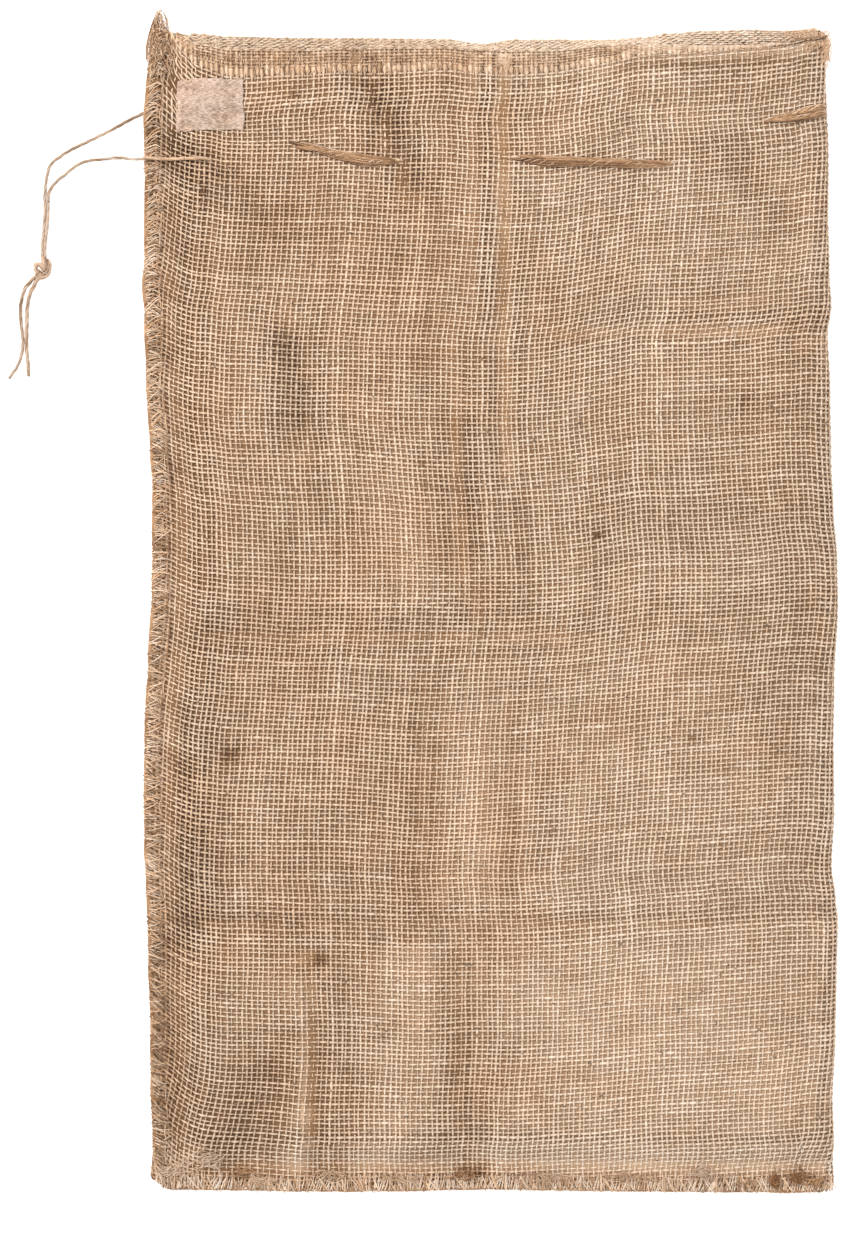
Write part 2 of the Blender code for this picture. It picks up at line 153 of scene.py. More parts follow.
# The drawstring's free ends, from the sack's edge outwards: the same points as the solids'.
freeEnds = dict(
    diameter=0.002, step=0.0007,
    upperLeg=[
        (-0.1525, 0.2141, 0.00115), (-0.1576, 0.2119, 0.00115), (-0.1642, 0.2082, 0.00115),
        (-0.1705, 0.2046, 0.00115), (-0.1764, 0.2016, 0.00115), (-0.1823, 0.1989, 0.00115),
        (-0.1880, 0.1961, 0.00115), (-0.1923, 0.1929, 0.00115), (-0.1946, 0.1886, 0.00115),
        (-0.1953, 0.1836, 0.00115), (-0.1950, 0.1773, 0.00115), (-0.1952, 0.1699, 0.00115),
        (-0.1957, 0.1620, 0.0012), (-0.1966, 0.1558, 0.0016), (-0.1979, 0.1507, 0.00275),
    ],
    lowerLeg=[
        (-0.15265, 0.1938, 0.00445), (-0.1545, 0.1939, 0.0031), (-0.1572, 0.1941, 0.0015),
        (-0.1610, 0.1942, 0.00115), (-0.1656, 0.1942, 0.00115), (-0.1705, 0.1939, 0.00115),
        (-0.1764, 0.1930, 0.00115), (-0.1816, 0.1908, 0.00115), (-0.1860, 0.1874, 0.00115),
        (-0.1894, 0.1834, 0.00115), (-0.1917, 0.1788, 0.00115), (-0.1926, 0.1734, 0.00115),
        (-0.1927, 0.1676, 0.00115), (-0.1930, 0.1612, 0.0012), (-0.1939, 0.1556, 0.0016),
        (-0.1953, 0.1505, 0.00275),
    ],
    leftTail=[
        (-0.2009, 0.1424, 0.00275), (-0.2044, 0.1376, 0.0015), (-0.2067, 0.1318, 0.00115),
        (-0.2074, 0.1256, 0.00115), (-0.2070, 0.1194, 0.00115), (-0.2062, 0.1134, 0.00115),
        (-0.2068, 0.1074, 0.00115), (-0.2088, 0.1022, 0.00115), (-0.2112, 0.0974, 0.00115),
    ],
    rightTail=[
        (-0.1991, 0.1408, 0.00275), (-0.2020, 0.1358, 0.0015), (-0.2043, 0.1306, 0.00115),
        (-0.2049, 0.1250, 0.00115), (-0.2045, 0.1188, 0.00115), (-0.2035, 0.1130, 0.00115),
        (-0.2025, 0.1078, 0.00115), (-0.2020, 0.1030, 0.00115), (-0.2022, 0.0984, 0.00115),
    ],
)


# The cubic from start to end, at shares t of the way, that leaves each in line with its neighbours.
def cubic(before, start, end, after, t):
    return (
        start
        + (end - before) * t / 2
        + (2 * before - 5 * start + 4 * end - after) * t**2 / 2
        + (3 * start - before - 3 * end + after) * t**3 / 2
    )


# Points along the smooth curve of cubics through a route, about a step apart.
def smoothRoute(points, step):
    points = np.asarray(points, float)
    ends = np.vstack([2 * points[0] - points[1], points, 2 * points[-1] - points[-2]])
    runs = []
    for four in zip(ends, ends[1:], ends[2:], ends[3:]):
        count = max(1, round(float(np.linalg.norm(four[2] - four[1])) / step))
        runs.append(cubic(*four, (np.arange(count) / count)[:, None]))
    return np.vstack([*runs, points[-1:]])


# The same curve for many routes at once, as (routes, points, 3), each stretch in equal steps.
def smoothRoutes(points, steps):
    points = np.asarray(points, float)
    first, last = 2 * points[:, :1] - points[:, 1:2], 2 * points[:, -1:] - points[:, -2:-1]
    ends = np.concatenate([first, points, last], axis=1)[:, :, None]
    four = (ends[:, k : k + points.shape[1] - 1] for k in range(4))
    curve = cubic(*four, (np.arange(steps) / steps)[:, None])
    return np.concatenate([curve.reshape(len(points), -1, 3), points[:, -1:]], axis=1)


# Length from the first point to each point of a route.
def lengthAlong(route):
    steps = np.linalg.norm(np.diff(route, axis=0), axis=1)
    return np.concatenate([[0], np.cumsum(steps)])


# Two directions square to a route, or to each of many, at each point: sideways is the reference
# crossed with the route's own direction, and upwards is that direction crossed with sideways.
def routeSides(route, reference):
    forward = unit(np.gradient(route, axis=-2))
    sideways = unit(np.cross(reference, forward))
    return sideways, unit(np.cross(forward, sideways))


# Closed round tubes, all with the same number of rings: a ring's corners are its centre plus
# its radius times cosine of the angle sideways plus radius times sine upwards, and each end
# runs to a point. centre, sideways and upwards are (tubes, rings, 3), radius (tubes, rings).
def roundTubes(centre, sideways, upwards, radius, sides):
    tubes, rings = radius.shape
    angle = np.arange(sides) * 2 * math.pi / sides
    spread = sideways[:, :, None] * np.cos(angle)[:, None] + upwards[:, :, None] * np.sin(angle)[:, None]
    skin = centre[:, :, None] + spread * radius[:, :, None, None]
    start = centre[:, 0] - unit(centre[:, 1] - centre[:, 0]) * radius[:, :1] * 0.6
    end = centre[:, -1] + unit(centre[:, -1] - centre[:, -2]) * radius[:, -1:] * 0.6
    points = np.concatenate([skin.reshape(tubes, -1, 3), start[:, None], end[:, None]], axis=1)
    size = rings * sides + 2
    first = (np.arange(tubes) * size)[:, None, None]
    ring = (np.arange(rings - 1) * sides)[None, :, None]
    side = np.arange(sides)[None, None, :]
    after = (side + 1) % sides
    a, b = first + ring + side, first + ring + after
    quads = np.stack([a, b, b + sides, a + sides], axis=-1).reshape(-1, 4)
    foot, last = first[:, 0] + size - 2, first[:, 0] + (rings - 1) * sides
    near = np.broadcast_arrays(foot, first[:, 0] + after[0], first[:, 0] + side[0])
    distant = np.broadcast_arrays(foot + 1, last + side[0], last + after[0])
    triangles = np.concatenate([np.stack(near, axis=-1), np.stack(distant, axis=-1)], axis=1)
    # Bake map: each tube has its own strip, with length across it and the way round up it.
    low = np.arange(tubes)[:, None, None] / tubes
    u0 = np.broadcast_to(ring / sides / (rings - 1), (tubes, rings - 1, sides))
    v0 = np.broadcast_to(low + side / sides / tubes, u0.shape)
    u1, v1 = u0 + 1 / (rings - 1), v0 + 1 / sides / tubes
    quadMap = np.stack([u0, v0, u0, v1, u1, v1, u1, v0], axis=-1).reshape(-1, 2)
    endMap = np.full((triangles.size, 2), 0.5 / tubes)
    bakeMap = np.concatenate([quadMap * 0.996 + 0.002, endMap])
    return points.reshape(-1, 3), quads, triangles.reshape(-1, 3), bakeMap


# One value for each ring of each tube, spread to the ring's corners and the two end points.
def ringMarks(values, sides):
    return np.concatenate([np.repeat(values, sides, axis=1), values[:, :1], values[:, -1:]], axis=1)


# Twine of three plies: each ply's middle turns round the route, a third of a turn from the
# next, once for each lay, and the plies' own thickness swells and thins a little. pinch, tone
# and warm run along the route.
def layTwine(name, route, diameter, reference, pinch, tone, warm, lay=0.013, seed=1):
    along = lengthAlong(route)
    sideways, upwards = routeSides(route, reference)
    turns = (2 * math.pi * (along / lay + np.arange(3)[:, None] / 3))[:, :, None]
    out = (diameter * 0.15 * np.broadcast_to(pinch, along.shape))[:, None]
    centre = route[None] + out * (np.cos(turns) * sideways + np.sin(turns) * upwards)
    ply = np.arange(3)[:, None] * 3.0
    radius = diameter * 0.235 * (1 + 0.14 * softField(along / 0.004, ply, seed)) * pinch
    sides = np.broadcast_to(sideways, centre.shape), np.broadcast_to(upwards, centre.shape)
    points, quads, triangles, bakeMap = roundTubes(centre, *sides, radius, 6)
    marks = {}
    for mark, level, size, grain in (("tone", tone, 0.13, 0.007), ("warm", warm, 0.25, 0.03)):
        value = level + size * softField(along / grain, ply, seed + len(marks) + 1)
        marks[mark] = np.clip(ringMarks(value, 6), 0, 1)
    return putMesh(name, points, quads, triangles, marks, bakeMap)


# How each free end is laid: its start and end thickness, tone and warmth, and how far in
# millimetres each point of the route gives way to its neighbour, so that the pairs touch.
freeLook = dict(
    upperLeg=dict(
        thick=(0.98, 1), tone=(0.40, 0.54), warm=(0.10, 0.25),
        moves=[
            (1.7, 0.1), (0, -0.8), (0, -0.8), (0, -0.4), (0, -0.3), (0, -0.4), (0.4, -0.8), (0.6, -0.6),
            (0.8, -0.2), (0.6, -0.3), (-0.2, 0), (0, 0), (-0.15, 0), (0.2, 0), (1.7, 0),
        ],
    ),
    lowerLeg=dict(
        thick=(1, 1), tone=(0.42, 0.58), warm=(0.10, 0.25),
        moves=[
            (1.6, -0.5), (0, -0.5), (0, -0.4), (0, 0), (0, -0.1), (0, -0.4), (0, -0.1), (0, -0.1),
            (0, -0.3), (-0.6, 0.5), (-1.5, 0.6), (-1.1, 0), (-1.2, 0), (-1.5, 0), (-1.1, 0), (0.45, 0),
        ],
    ),
    leftTail=dict(
        thick=(1.2, 0.95), tone=(0.46, 0.42), warm=(0.35, 0.15),
        moves=[
            (1.5, -0.5), (0.6, -0.7), (1.1, -0.4), (1.5, 0), (1.6, 0), (1.4, 0), (1.2, 0), (1.2, 0),
            (0.3, 0.2),
        ],
    ),
    rightTail=dict(
        thick=(1.2, 1.1), tone=(0.44, 0.48), warm=(0.35, 0.25),
        moves=[
            (1.1, 0.3), (0.7, -0.4), (1.7, -0.2), (1.9, 0), (1.35, 0), (0.3, 0), (-0.4, 0), (-0.5, 0),
            (-0.1, 0.2),
        ],
    ),
)


# One free end along its given route, moved over by its own moves, with the rest even from end to end.
def layFreeEnd(key, seed):
    look = freeLook[key]
    moves = np.pad(np.array(look["moves"]) * mm, ((0, 0), (0, 1)))
    route = smoothRoute(np.array(freeEnds[key]) + moves, freeEnds["step"])
    share = np.linspace(0, 1, len(route))
    thick, tone, warm = (look[k][0] + (look[k][1] - look[k][0]) * share for k in ("thick", "tone", "warm"))
    return layTwine(key, route, freeEnds["diameter"], (0.0, 0.0, 1.0), thick, tone, warm, seed=seed)


upperLeg, lowerLeg, leftTail, rightTail = (layFreeEnd(key, 11 + n) for n, key in enumerate(freeLook))
print("free ends made")

# The sack's form, in millimetres: the same named sizes as the solid's.
sackForm = dict(
    halfWidth=150.0, footLine=-258.0, mouthLine=246.0, cloth=1.4, seamWidth=8.5, seamThick=3.2,
    seamRise=17.0, puff=10.4, foldFlat=0.25, insideFold=143.0, twineRise=3.3,
    # Side edges: up the sack, left, right.
    sides=[
        (-259, -147, 150.8), (-240, -147.4, 150.4), (-218, -148.3, 149.6), (-190, -148.4, 150.9),
        (-165, -149.3, 151.4), (-139, -149.8, 152), (-131, -150.3, 151), (-116, -151, 149.2),
        (-92, -151.3, 150.4), (-60, -150.9, 150), (-34, -149.5, 150.4), (-4, -147.9, 152),
        (18, -147.6, 151.6), (40, -147.4, 150), (62, -148.7, 149.1), (88, -150.3, 148.7),
        (116, -151, 147.7), (130, -152, 149.1), (142, -151, 148.3), (170, -150.9, 147.8),
        (197, -151.2, 147.8), (215, -150.2, 147), (228, -149, 146.6), (246, -149.6, 146.8),
    ],
    # Foot and mouth: across the sack, foot, mouth's back edge, mouth's front edge.
    ends=[
        (-150, -254.2, 256.5, 256.5), (-146, -257.2, 259, 259), (-141.5, -257.8, 257, 257),
        (-136, -257.8, 248.4, 247.4), (-127, -257.9, 247.2, 242.4), (-113, -258, 246.2, 240.2),
        (-83, -258.6, 245.6, 239.9), (-61, -258.5, 245.5, 240.8), (-39, -258.4, 245.4, 240.9),
        (-20, -257.9, 245.1, 241), (-4, -257.6, 243.1, 239.8), (12, -257.9, 245, 239.7),
        (28, -258.1, 244.9, 239.8), (52, -258.4, 244.8, 241.8), (66, -258.5, 245.8, 242.6),
        (78, -258.6, 247.5, 242), (94, -258.8, 248.7, 241.6), (113, -258.9, 249.2, 241.8),
        (132, -259, 248.8, 242.8), (143, -258.9, 249.9, 244.6), (148, -258.5, 249, 245.4),
        (150, -257, 246.6, 245.4),
    ],
    # Folds of the front: start, end, half width, rise.
    folds=[
        (-60, 240, -35, 178, 6.5, -2.2), (-2, 250, -2, 128, 4.5, 1), (6, 240, 6, 56, 4, -1),
        (-134, 205, -98, 165, 9, -1.4), (-86, 122, -82, 66, 8, -2.1), (-20, 124, -15, 90, 8, -1.1),
        (-17, 80, -8, -4, 5.5, -1.7), (30, 116, 150, 118, 5, -0.9), (134, 113, 150, 113, 6, -1.2),
        (78, 125, 122, 125, 5, 0.7), (-140, -14, 30, -14, 7, -1.6), (60, -8, 150, -8, 9, -0.9),
        (-11, -40, -12, -132, 9, 1.4), (-31, -42, -28, -124, 8, -1.1), (9, -42, 12, -124, 7, -0.8),
        (-145, -140, -95, -139, 5.5, -1.4), (-80, -139, 150, -138, 5, -1), (-83, -160, -83, -256, 3.6, 2.2),
        (-75, -172, -76, -256, 5, -1.5), (-104, -205, -106, -252, 12, -1.2),
        (-10, -150, -11, -256, 8.5, -1.8),
    ],
    # Fullness of the front: middle, half sizes, rise.
    puffs=[
        (70, 180, 60, 35, 0.9), (-55, 150, 30, 25, 0.6), (80, 60, 55, 40, 0.9), (-110, 40, 25, 40, 0.5),
        (80, -75, 60, 40, 0.8), (-95, -80, 35, 40, 0.6), (80, -200, 60, 35, 1), (-45, -205, 18, 35, 0.7),
    ],
    backFolds=[
        (-140, 124, 140, 122, 5, 0.5), (-140, -14, 140, -14, 5, 0.5), (-140, -139, 140, -139, 5, 0.5),
    ],
    # The run's stitches under the back layer: start and end of each.
    backStitches=[
        ((160, 214), (116, 213)), ((72, 212.6), (28, 213.4)), ((-22, 214), (-66, 213)),
        ((-118, 212.8), (-160, 214)),
    ],
)
# The back layer rises over the twine's stitches beneath it.
overTwine = [(*start, *end, 8.0, sackForm["twineRise"]) for start, end in sackForm["backStitches"]]
sideRows = np.array(sackForm["sides"]).T
endRows = np.array(sackForm["ends"]).T


# The left and the right edge at a place up the sack.
def sideEdges(y):
    return eased(sideRows[0], sideRows[1], y), eased(sideRows[0], sideRows[2], y)


# The foot's line, or the mouth's back or front edge, at a place across the sack.
def endEdge(kind, x):
    return eased(endRows[0], endRows[("foot", "back", "front").index(kind) + 1], x)


# Sum of the folds: rise times e to the minus square of the distance to its line over its width.
def foldHeight(folds, x, y):
    height = np.zeros(np.broadcast(x, y).shape)
    for x0, y0, x1, y1, width, rise in folds:
        dx, dy = x1 - x0, y1 - y0
        along = np.clip(((x - x0) * dx + (y - y0) * dy) / (dx * dx + dy * dy), 0, 1)
        away = np.hypot(x - x0 - dx * along, y - y0 - dy * along)
        height = height + rise * np.exp(-((away / width) ** 2))
    return height


# Sum of mounds: each one's rise times its share at (x, y).
def moundHeight(mounds, x, y):
    height = np.zeros(np.broadcast(x, y).shape)
    for *where, rise in mounds:
        height = height + rise * mound(x, y, *where)
    return height


# Underside of the back layer: flat but for its creases and the twine beneath it.
def backHeight(placedX, placedY):
    twine = np.minimum(foldHeight(overTwine, placedX, placedY), sackForm["twineRise"])
    return np.maximum(twine, foldHeight(sackForm["backFolds"], placedX, placedY))


# Top of the front layer: the seam's thickness over the back layer, eased up to the full height
# past each seam.
def frontHeight(x, t, placedX, placedY):
    form = sackForm
    left = ease((x + form["halfWidth"] - form["seamWidth"]) / form["seamRise"])
    foot = ease((t - form["footLine"] - form["seamWidth"]) / form["seamRise"])
    seam = form["seamThick"] + backHeight(placedX, placedY)
    full = form["puff"] + foldHeight(form["folds"], placedX, placedY)
    full = full + moundHeight(form["puffs"], placedX, placedY)
    return seam + (full - seam) * left * foot


# The front's outer skin at a place on the laid sack: the flat cloth's x is found from the
# placed one, which is a share of the way from side to side.
def skinHeight(x, y):
    left, right = sideEdges(y)
    flatX = ((x - left) / (right - left) * 2 - 1) * sackForm["halfWidth"]
    return frontHeight(flatX, y, x, y)


# Where a place on the flat cloth lies in the sack's uneven outline: a share of the way from
# edge to edge. front is 1 on the front layer, 0 on the back, for the mouth's two edges.
def place(x, t, front):
    form = sackForm
    left, right = sideEdges(t)
    foot, mouth = endEdge("foot", x), endEdge("back", x) * (1 - front) + endEdge("front", x) * front
    across = (x + form["halfWidth"]) / (2 * form["halfWidth"])
    along = (t - form["footLine"]) / (form["mouthLine"] - form["footLine"])
    return left + (right - left) * across, foot + (mouth - foot) * along


# The fold's rounding where half the sack's depth is 1: up a short flat, then a quarter of an
# ellipse. Distance in from the edge and height are read by the length along this curve.
turnSteps = np.linspace(0, math.pi / 2, 60)
unitIn = np.concatenate([[0], 1 - np.cos(turnSteps)])
unitUp = np.concatenate([[0], sackForm["foldFlat"] + (1 - sackForm["foldFlat"]) * np.sin(turnSteps)])
unitArc = np.concatenate([[0], np.cumsum(np.hypot(np.diff(unitIn), np.diff(unitUp)))])
halfSheet = 302.1


# Distance over the sheet from the sewn side, on either layer.
def fromSewn(s):
    return np.minimum(s, 2 * halfSheet - s)


# The cloth's middle surface, in millimetres. s runs over the sheet from the sewn side across
# the front to the fold, which is at halfSheet, and back across the underside; t runs from
# foot to mouth. The fold's depth is read just inside it.
def clothPlace(s, t):
    form = sackForm
    inset = form["cloth"] / 2
    s, t = np.broadcast_arrays(s, t)
    side = np.where(s < halfSheet, 1.0, -1.0)
    front = ease(0.5 + (halfSheet - s) / 10.0)
    edgeX = np.full(s.shape, form["insideFold"])
    edgePlace = place(edgeX, t, front)
    edgeDepth = (frontHeight(edgeX, t, *edgePlace) - backHeight(*edgePlace)) / 2 - inset
    arc = np.abs(halfSheet - s) / edgeDepth
    inwards = np.interp(arc, unitArc, unitIn) + np.maximum(arc - unitArc[-1], 0)
    x = form["halfWidth"] - inset - inwards * edgeDepth
    placed = place(x, t, front)
    top, bottom = frontHeight(x, t, *placed), backHeight(*placed)
    height = (top + bottom) / 2 + side * ((top - bottom) / 2 - inset) * np.interp(arc, unitArc, unitUp)
    return np.stack([*placed, height], axis=-1)


# The weave, in millimetres. Drifts and pulls carry the yarns off the square: rowDrift moves the
# cross yarns up by so much at each place across the sheet, columnDrift moves the long yarns
# across at each place up it, and a pull moves both about its middle.
weave = dict(
    acrossPitch=2.25, backPitch=2.62, alongPitch=2.05, wide=(1.12, 1.10), backWide=1.17, tall=0.56,
    wave=0.34,
    # Painted highlight on a yarn's ridge and painted shade on its two lower corners, in tone and warmth.
    cornerShadeTone=(0.07, -0.12, -0.12),
    cornerShadeWarm=(-0.05, 0.14, 0.14),
    footShift=2.3, headingStart=237.6, floatShare=0.36, floatRows=(0.35, 0.72), packedRows=6, lastRow=0.985,
    lowestRow=-272, pastFold=14, unevenAcross=0.22, unevenAlong=0.16,
    # No yarn lies further left and up than this, under the ear.
    underEar=(-137, 249),
    # How far the rows under the heading rise with it, across the sheet.
    headingBend=[
        (0, 0), (25, -0.8), (60, -0.4), (100, 0.5), (130, 2.6), (160, 1), (195, 1.2), (215, 2.6),
        (240, 3.6), (285, 3.6), (302, 2.4), (350, 0), (604, 0),
    ],
    rowDrift=[
        (0, 8.6), (8, 5), (14, 2), (20, -0.1), (28, -1.3), (60, -2.2), (130, -4.4), (160, -3.9),
        (195, -1.8), (225, 1.2), (260, 4.2), (290, 5.8), (314, 5.8), (350, 3.5), (450, -2), (540, -3),
        (604, 3),
    ],
    columnDrift=[
        (-262, -17), (-215, -15.4), (-190, -14.7), (-150, -13.9), (-100, -12.8), (-60, -11.2), (-30, -10.2),
        (0, -8.8), (20, -8.4), (50, -9.3), (80, -10), (100, -9.2), (130, -6.6), (160, -3.6), (200, -1),
        (246, 0),
    ],
    pulls=[
        (26, -246, 30, 24, -8, 0), (42, 226, 18, 20, 0, -3.6), (222, 120, 40, 30, 0, 1.2),
        (140, -200, 26, 40, 1.2, 0), (70, -200, 14, 50, 1.6, 0), (2, 155, 15, 45, 0, 4.5),
        (2, -120, 14, 14, 0, 3), (0, -222, 17, 38, 0, 6), (302, 60, 13, 75, 0, -4),
        (302, -90, 13, 75, 0, -3.2),
    ],
    # Where the yarns are drawn thin and the holes look larger: middle, half sizes, how much.
    thins=[
        (-112, -215, 42, 45, 0.16), (-90, 165, 70, 45, 0.08), (100, 165, 40, 25, 0.08),
        (-130, 40, 20, 90, 0.08),
    ],
    # Brown spots: middle, half sizes, and how much darker.
    spots=[
        (-113.8, -67.3, 4.6, 3, 0.34), (-74.5, -155.9, 3.8, 3, 0.34), (-124.7, 178.6, 2, 1.8, 0.40),
        (46.9, 28.8, 1.9, 1.6, 0.36), (-6.8, -250, 6, 4, 0.22), (135.2, -253, 3, 2.2, 0.28),
        (88, -60, 1.4, 1.2, 0.30), (-31, 60, 1.3, 1.2, 0.30), (-60, -30, 1.5, 1.1, 0.28),
        (-87, 221, 2.6, 1.6, 0.22), (20, -215, 1.4, 1.2, 0.26), (112, 88, 1.5, 1.3, 0.26),
    ],
    # Painted shade and painted light along the folds, creases and ridges, and over some broad areas:
    # start, end, half width, and how much paler.
    paintedShades=[
        (-60, 240, -30, 178, 6.5, -0.17), (-130, 238, -80, 236, 5, -0.05), (58, 233, 138, 235, 2.2, -0.14),
        (-1, 238, -1, 130, 3.5, 0.05), (5, 232, 4, 52, 4.5, -0.035), (-145, 226, -25, 222, 13, -0.035),
        (-146, 196, -120, 190, 7, -0.06), (-125, 194, -92, 162, 9, -0.12), (-89, 114, -83, 82, 7.5, -0.16),
        (-80, 74, -73, 36, 6, -0.06), (-14, 78, -10, 40, 3.2, -0.13), (-9, 36, -4, -4, 3, -0.08),
        (-44, 48, -34, 12, 10, 0.06), (12, 40, 16, -4, 4, -0.07), (45, 42, 46, 4, 5, -0.04),
        (-148, -11, 148, -10, 9, -0.02), (-148, -14, 60, -14.5, 2, -0.04), (13, 116, 91, 116, 2.5, -0.03),
        (83, 123.5, 118, 123.5, 2.5, 0.06), (132, 122, 146, 121, 4.5, -0.08),
        (-148, -138.5, 148, -138, 2.2, -0.05), (-148, -144, 60, -143, 6, -0.03),
        (-142, -138.5, -126, -141.5, 1.8, -0.16), (-10, -50, -9, -134, 9, 0.08),
        (-32, -40, -29, -132, 7, -0.04), (8, -42, 10, -126, 4, -0.05), (-80, -174, -82, -222, 3, 0.11),
        (-82, -222, -86, -250, 3, 0.13), (-73, -186, -74, -252, 5, -0.07), (-62, -205, -62, -250, 8, -0.03),
        (-114, -240, -96, -206, 11, -0.11), (-121, -12, -121, -138, 8, -0.07),
        (-134, -48, -134, -150, 6, -0.08), (-140, 60, -138, -40, 5, -0.05),
        (-66, -172, -67, -192, 8, -0.05), (80, 198, 106, 194, 9, -0.05), (60, 42, 130, 40, 14, -0.04),
        (-104, -242, 70, -241, 6, 0.05), (-50, -243, -42, -234, 9, 0.07), (-8, -180, 30, -176, 10, 0.04),
        (-13, -184, -9, -248, 6, -0.10), (-6, -148, -8, -178, 4, -0.05), (-42, -158, -40, -225, 12, 0.05),
        (-28, -150, -27, -205, 6, 0.07), (27, -72, 27, -108, 6, -0.05), (119, -30, 120, -88, 7, -0.04),
        (137, -232, 138, -246, 7, -0.05), (-122, 26, -122, 12, 7, -0.05), (-10, 106, -10, 94, 5, -0.05),
        (-140, -148, -140, -240, 7, -0.12), (-140, 240, -140, 112, 6, -0.09),
        (-136, 200, -134, 152, 7, -0.07), (10, -222, 60, -236, 15, 0.035), (-139, 108, -139, 58, 6, -0.08),
        (-133, -78, -132, -134, 10, -0.05), (-80, -34, -72, -128, 30, -0.02),
        (136, 128, 137, -130, 7, -0.045), (104, 198, 128, 160, 7, -0.05), (40, 200, 130, 170, 40, 0.02),
        (60, -70, 130, -100, 45, 0.03), (60, -180, 130, -214, 45, 0.08), (20, -60, 0, -160, 30, 0.03),
    ],
)


# Every crossing of a long yarn and a cross yarn: their places on the sheet, how far up the
# heading, where that is in space, and the outward, across and along directions there.
def makeCrossings():
    w, dice = weave, np.random.default_rng(3)
    foot, mouth = sackForm["footLine"], sackForm["mouthLine"]
    turned = halfSheet + w["pastFold"]
    columns = int(turned / w["acrossPitch"] + (halfSheet + 10) / w["backPitch"])
    plainRows = int((w["headingStart"] - w["lowestRow"]) / w["alongPitch"])
    plain = w["headingStart"] - np.arange(plainRows)[::-1] * w["alongPitch"]
    floats = np.array(w["floatRows"]) * w["floatShare"]
    packed = np.linspace(w["floatShare"], w["lastRow"], w["packedRows"])
    upHeading = np.concatenate([np.zeros(plainRows), floats, packed])
    t0 = np.concatenate([plain, w["headingStart"] + upHeading[plainRows:] * (mouth - w["headingStart"])])
    s0 = (np.arange(columns) + 0.5) * w["acrossPitch"]
    s0 = s0 + np.maximum(s0 - turned, 0) * (w["backPitch"] / w["acrossPitch"] - 1)
    s0 = s0 + w["unevenAcross"] * dice.uniform(-1, 1, columns)
    t0 = t0 + w["unevenAlong"] * dice.uniform(-1, 1, len(t0)) * (upHeading == 0)
    s, t = np.meshgrid(s0, t0, indexing="ij")
    drift = flowing(w["columnDrift"], t, 9)
    drift = flowing(w["columnDrift"], t + flowing(w["rowDrift"], s + drift, 4), 9)
    moveS = drift + 0.28 * softField(np.arange(columns)[:, None] * 1.0, t / 14, 5)
    moveS = moveS + 0.40 * softField(s / 30, t / 30, 6)
    moveT = flowing(w["rowDrift"], s + drift, 4) + 0.9 * softField(s / 45, t / 60, 7)
    moveT = moveT + 0.24 * softField(s / 14, np.arange(len(t0))[None, :] * 1.0, 8)
    moveT = moveT + 0.45 * softField(s / 22, t / 22, 9)
    rise = flowing(w["headingBend"], s + drift, 7)
    moveT = moveT + rise * np.exp(-((np.minimum(t - w["headingStart"], 0) / 30) ** 2))
    moveS = moveS + np.sign(halfSheet - s) * w["footShift"] * ease((-233 - t) / 14) * ease(fromSewn(s) / 30)
    for ps, pt, wideS, wideT, ds, dt in w["pulls"]:
        near = mound(s + drift, t, ps, pt, wideS, wideT)
        moveS, moveT = moveS + ds * near, moveT + dt * near
    s, t = s + moveS, t + moveT * (1 - upHeading[None, :])
    # The rows by the sewn side stay level where the outline turns up or down at its corners.
    x = fromSewn(s) - sackForm["halfWidth"]
    share = (t - foot) / (mouth - foot)
    footRise = (endEdge("foot", x) + 257.8) * (1 - share) * ease((t + 250) / 30)
    mouthRise = (endEdge("front", x) - 241.0) * share * ease((240 - t) / 34)
    t = t - ease((-118 - x) / 10) * (footRise + mouthRise)
    keep = (s > 1.0) & (s < 2 * halfSheet - 1.0) & (t > foot + 0.8) & (t < mouth + 0.5)
    s, t = np.clip(s, 0.2, 2 * halfSheet - 0.2), np.clip(t, foot + 0.2, None)
    spots = clothPlace(s, t)
    across, along = unit(np.gradient(spots, axis=0)), unit(np.gradient(spots, axis=1))
    keep &= (spots[:, :, 0] > w["underEar"][0]) | (spots[:, :, 1] < w["underEar"][1])
    return dict(
        s=s, t=t, place=spots, across=across, along=along, outward=unit(np.cross(across, along)),
        keep=keep, share=np.broadcast_to(upHeading[None, :], s.shape),
    )


crossings = makeCrossings()
print("crossings", crossings["s"].shape)


# The cloth's own tone and warmth, its blotches as strength, size and seed, and how much paler and
# warmer it is in each place. Of these, the fold's and the foot slope's paleness is painted
# highlight where those slopes face away from the lamps, the lining's is painted light against
# the shade under the front's edge, and the last value gives the yarns a painted highlight over
# each crossing and painted shade under it.
clothLook = dict(
    tone=0.57, toneBlotches=((0.018, 26, 41), (0.03, 9, 42)),
    warm=0.12, warmBlotches=((0.10, 30, 43), (0.12, 7, 44)),
    seam=(-0.05, 0.3), fold=(0.07, 0.15), right=(0.02, -0.10), footSlopeHighlight=(0.05, 0.07),
    # The lining tone is painted light where the back's heading shows inside the mouth, in the shade under the
    # front's edge.
    heading=(-0.10, 0.16), mouthEdge=(0.06, -0.14), lining=(0.42, -0.25), headingMottle=0.14, crossingShade=0.16,
)
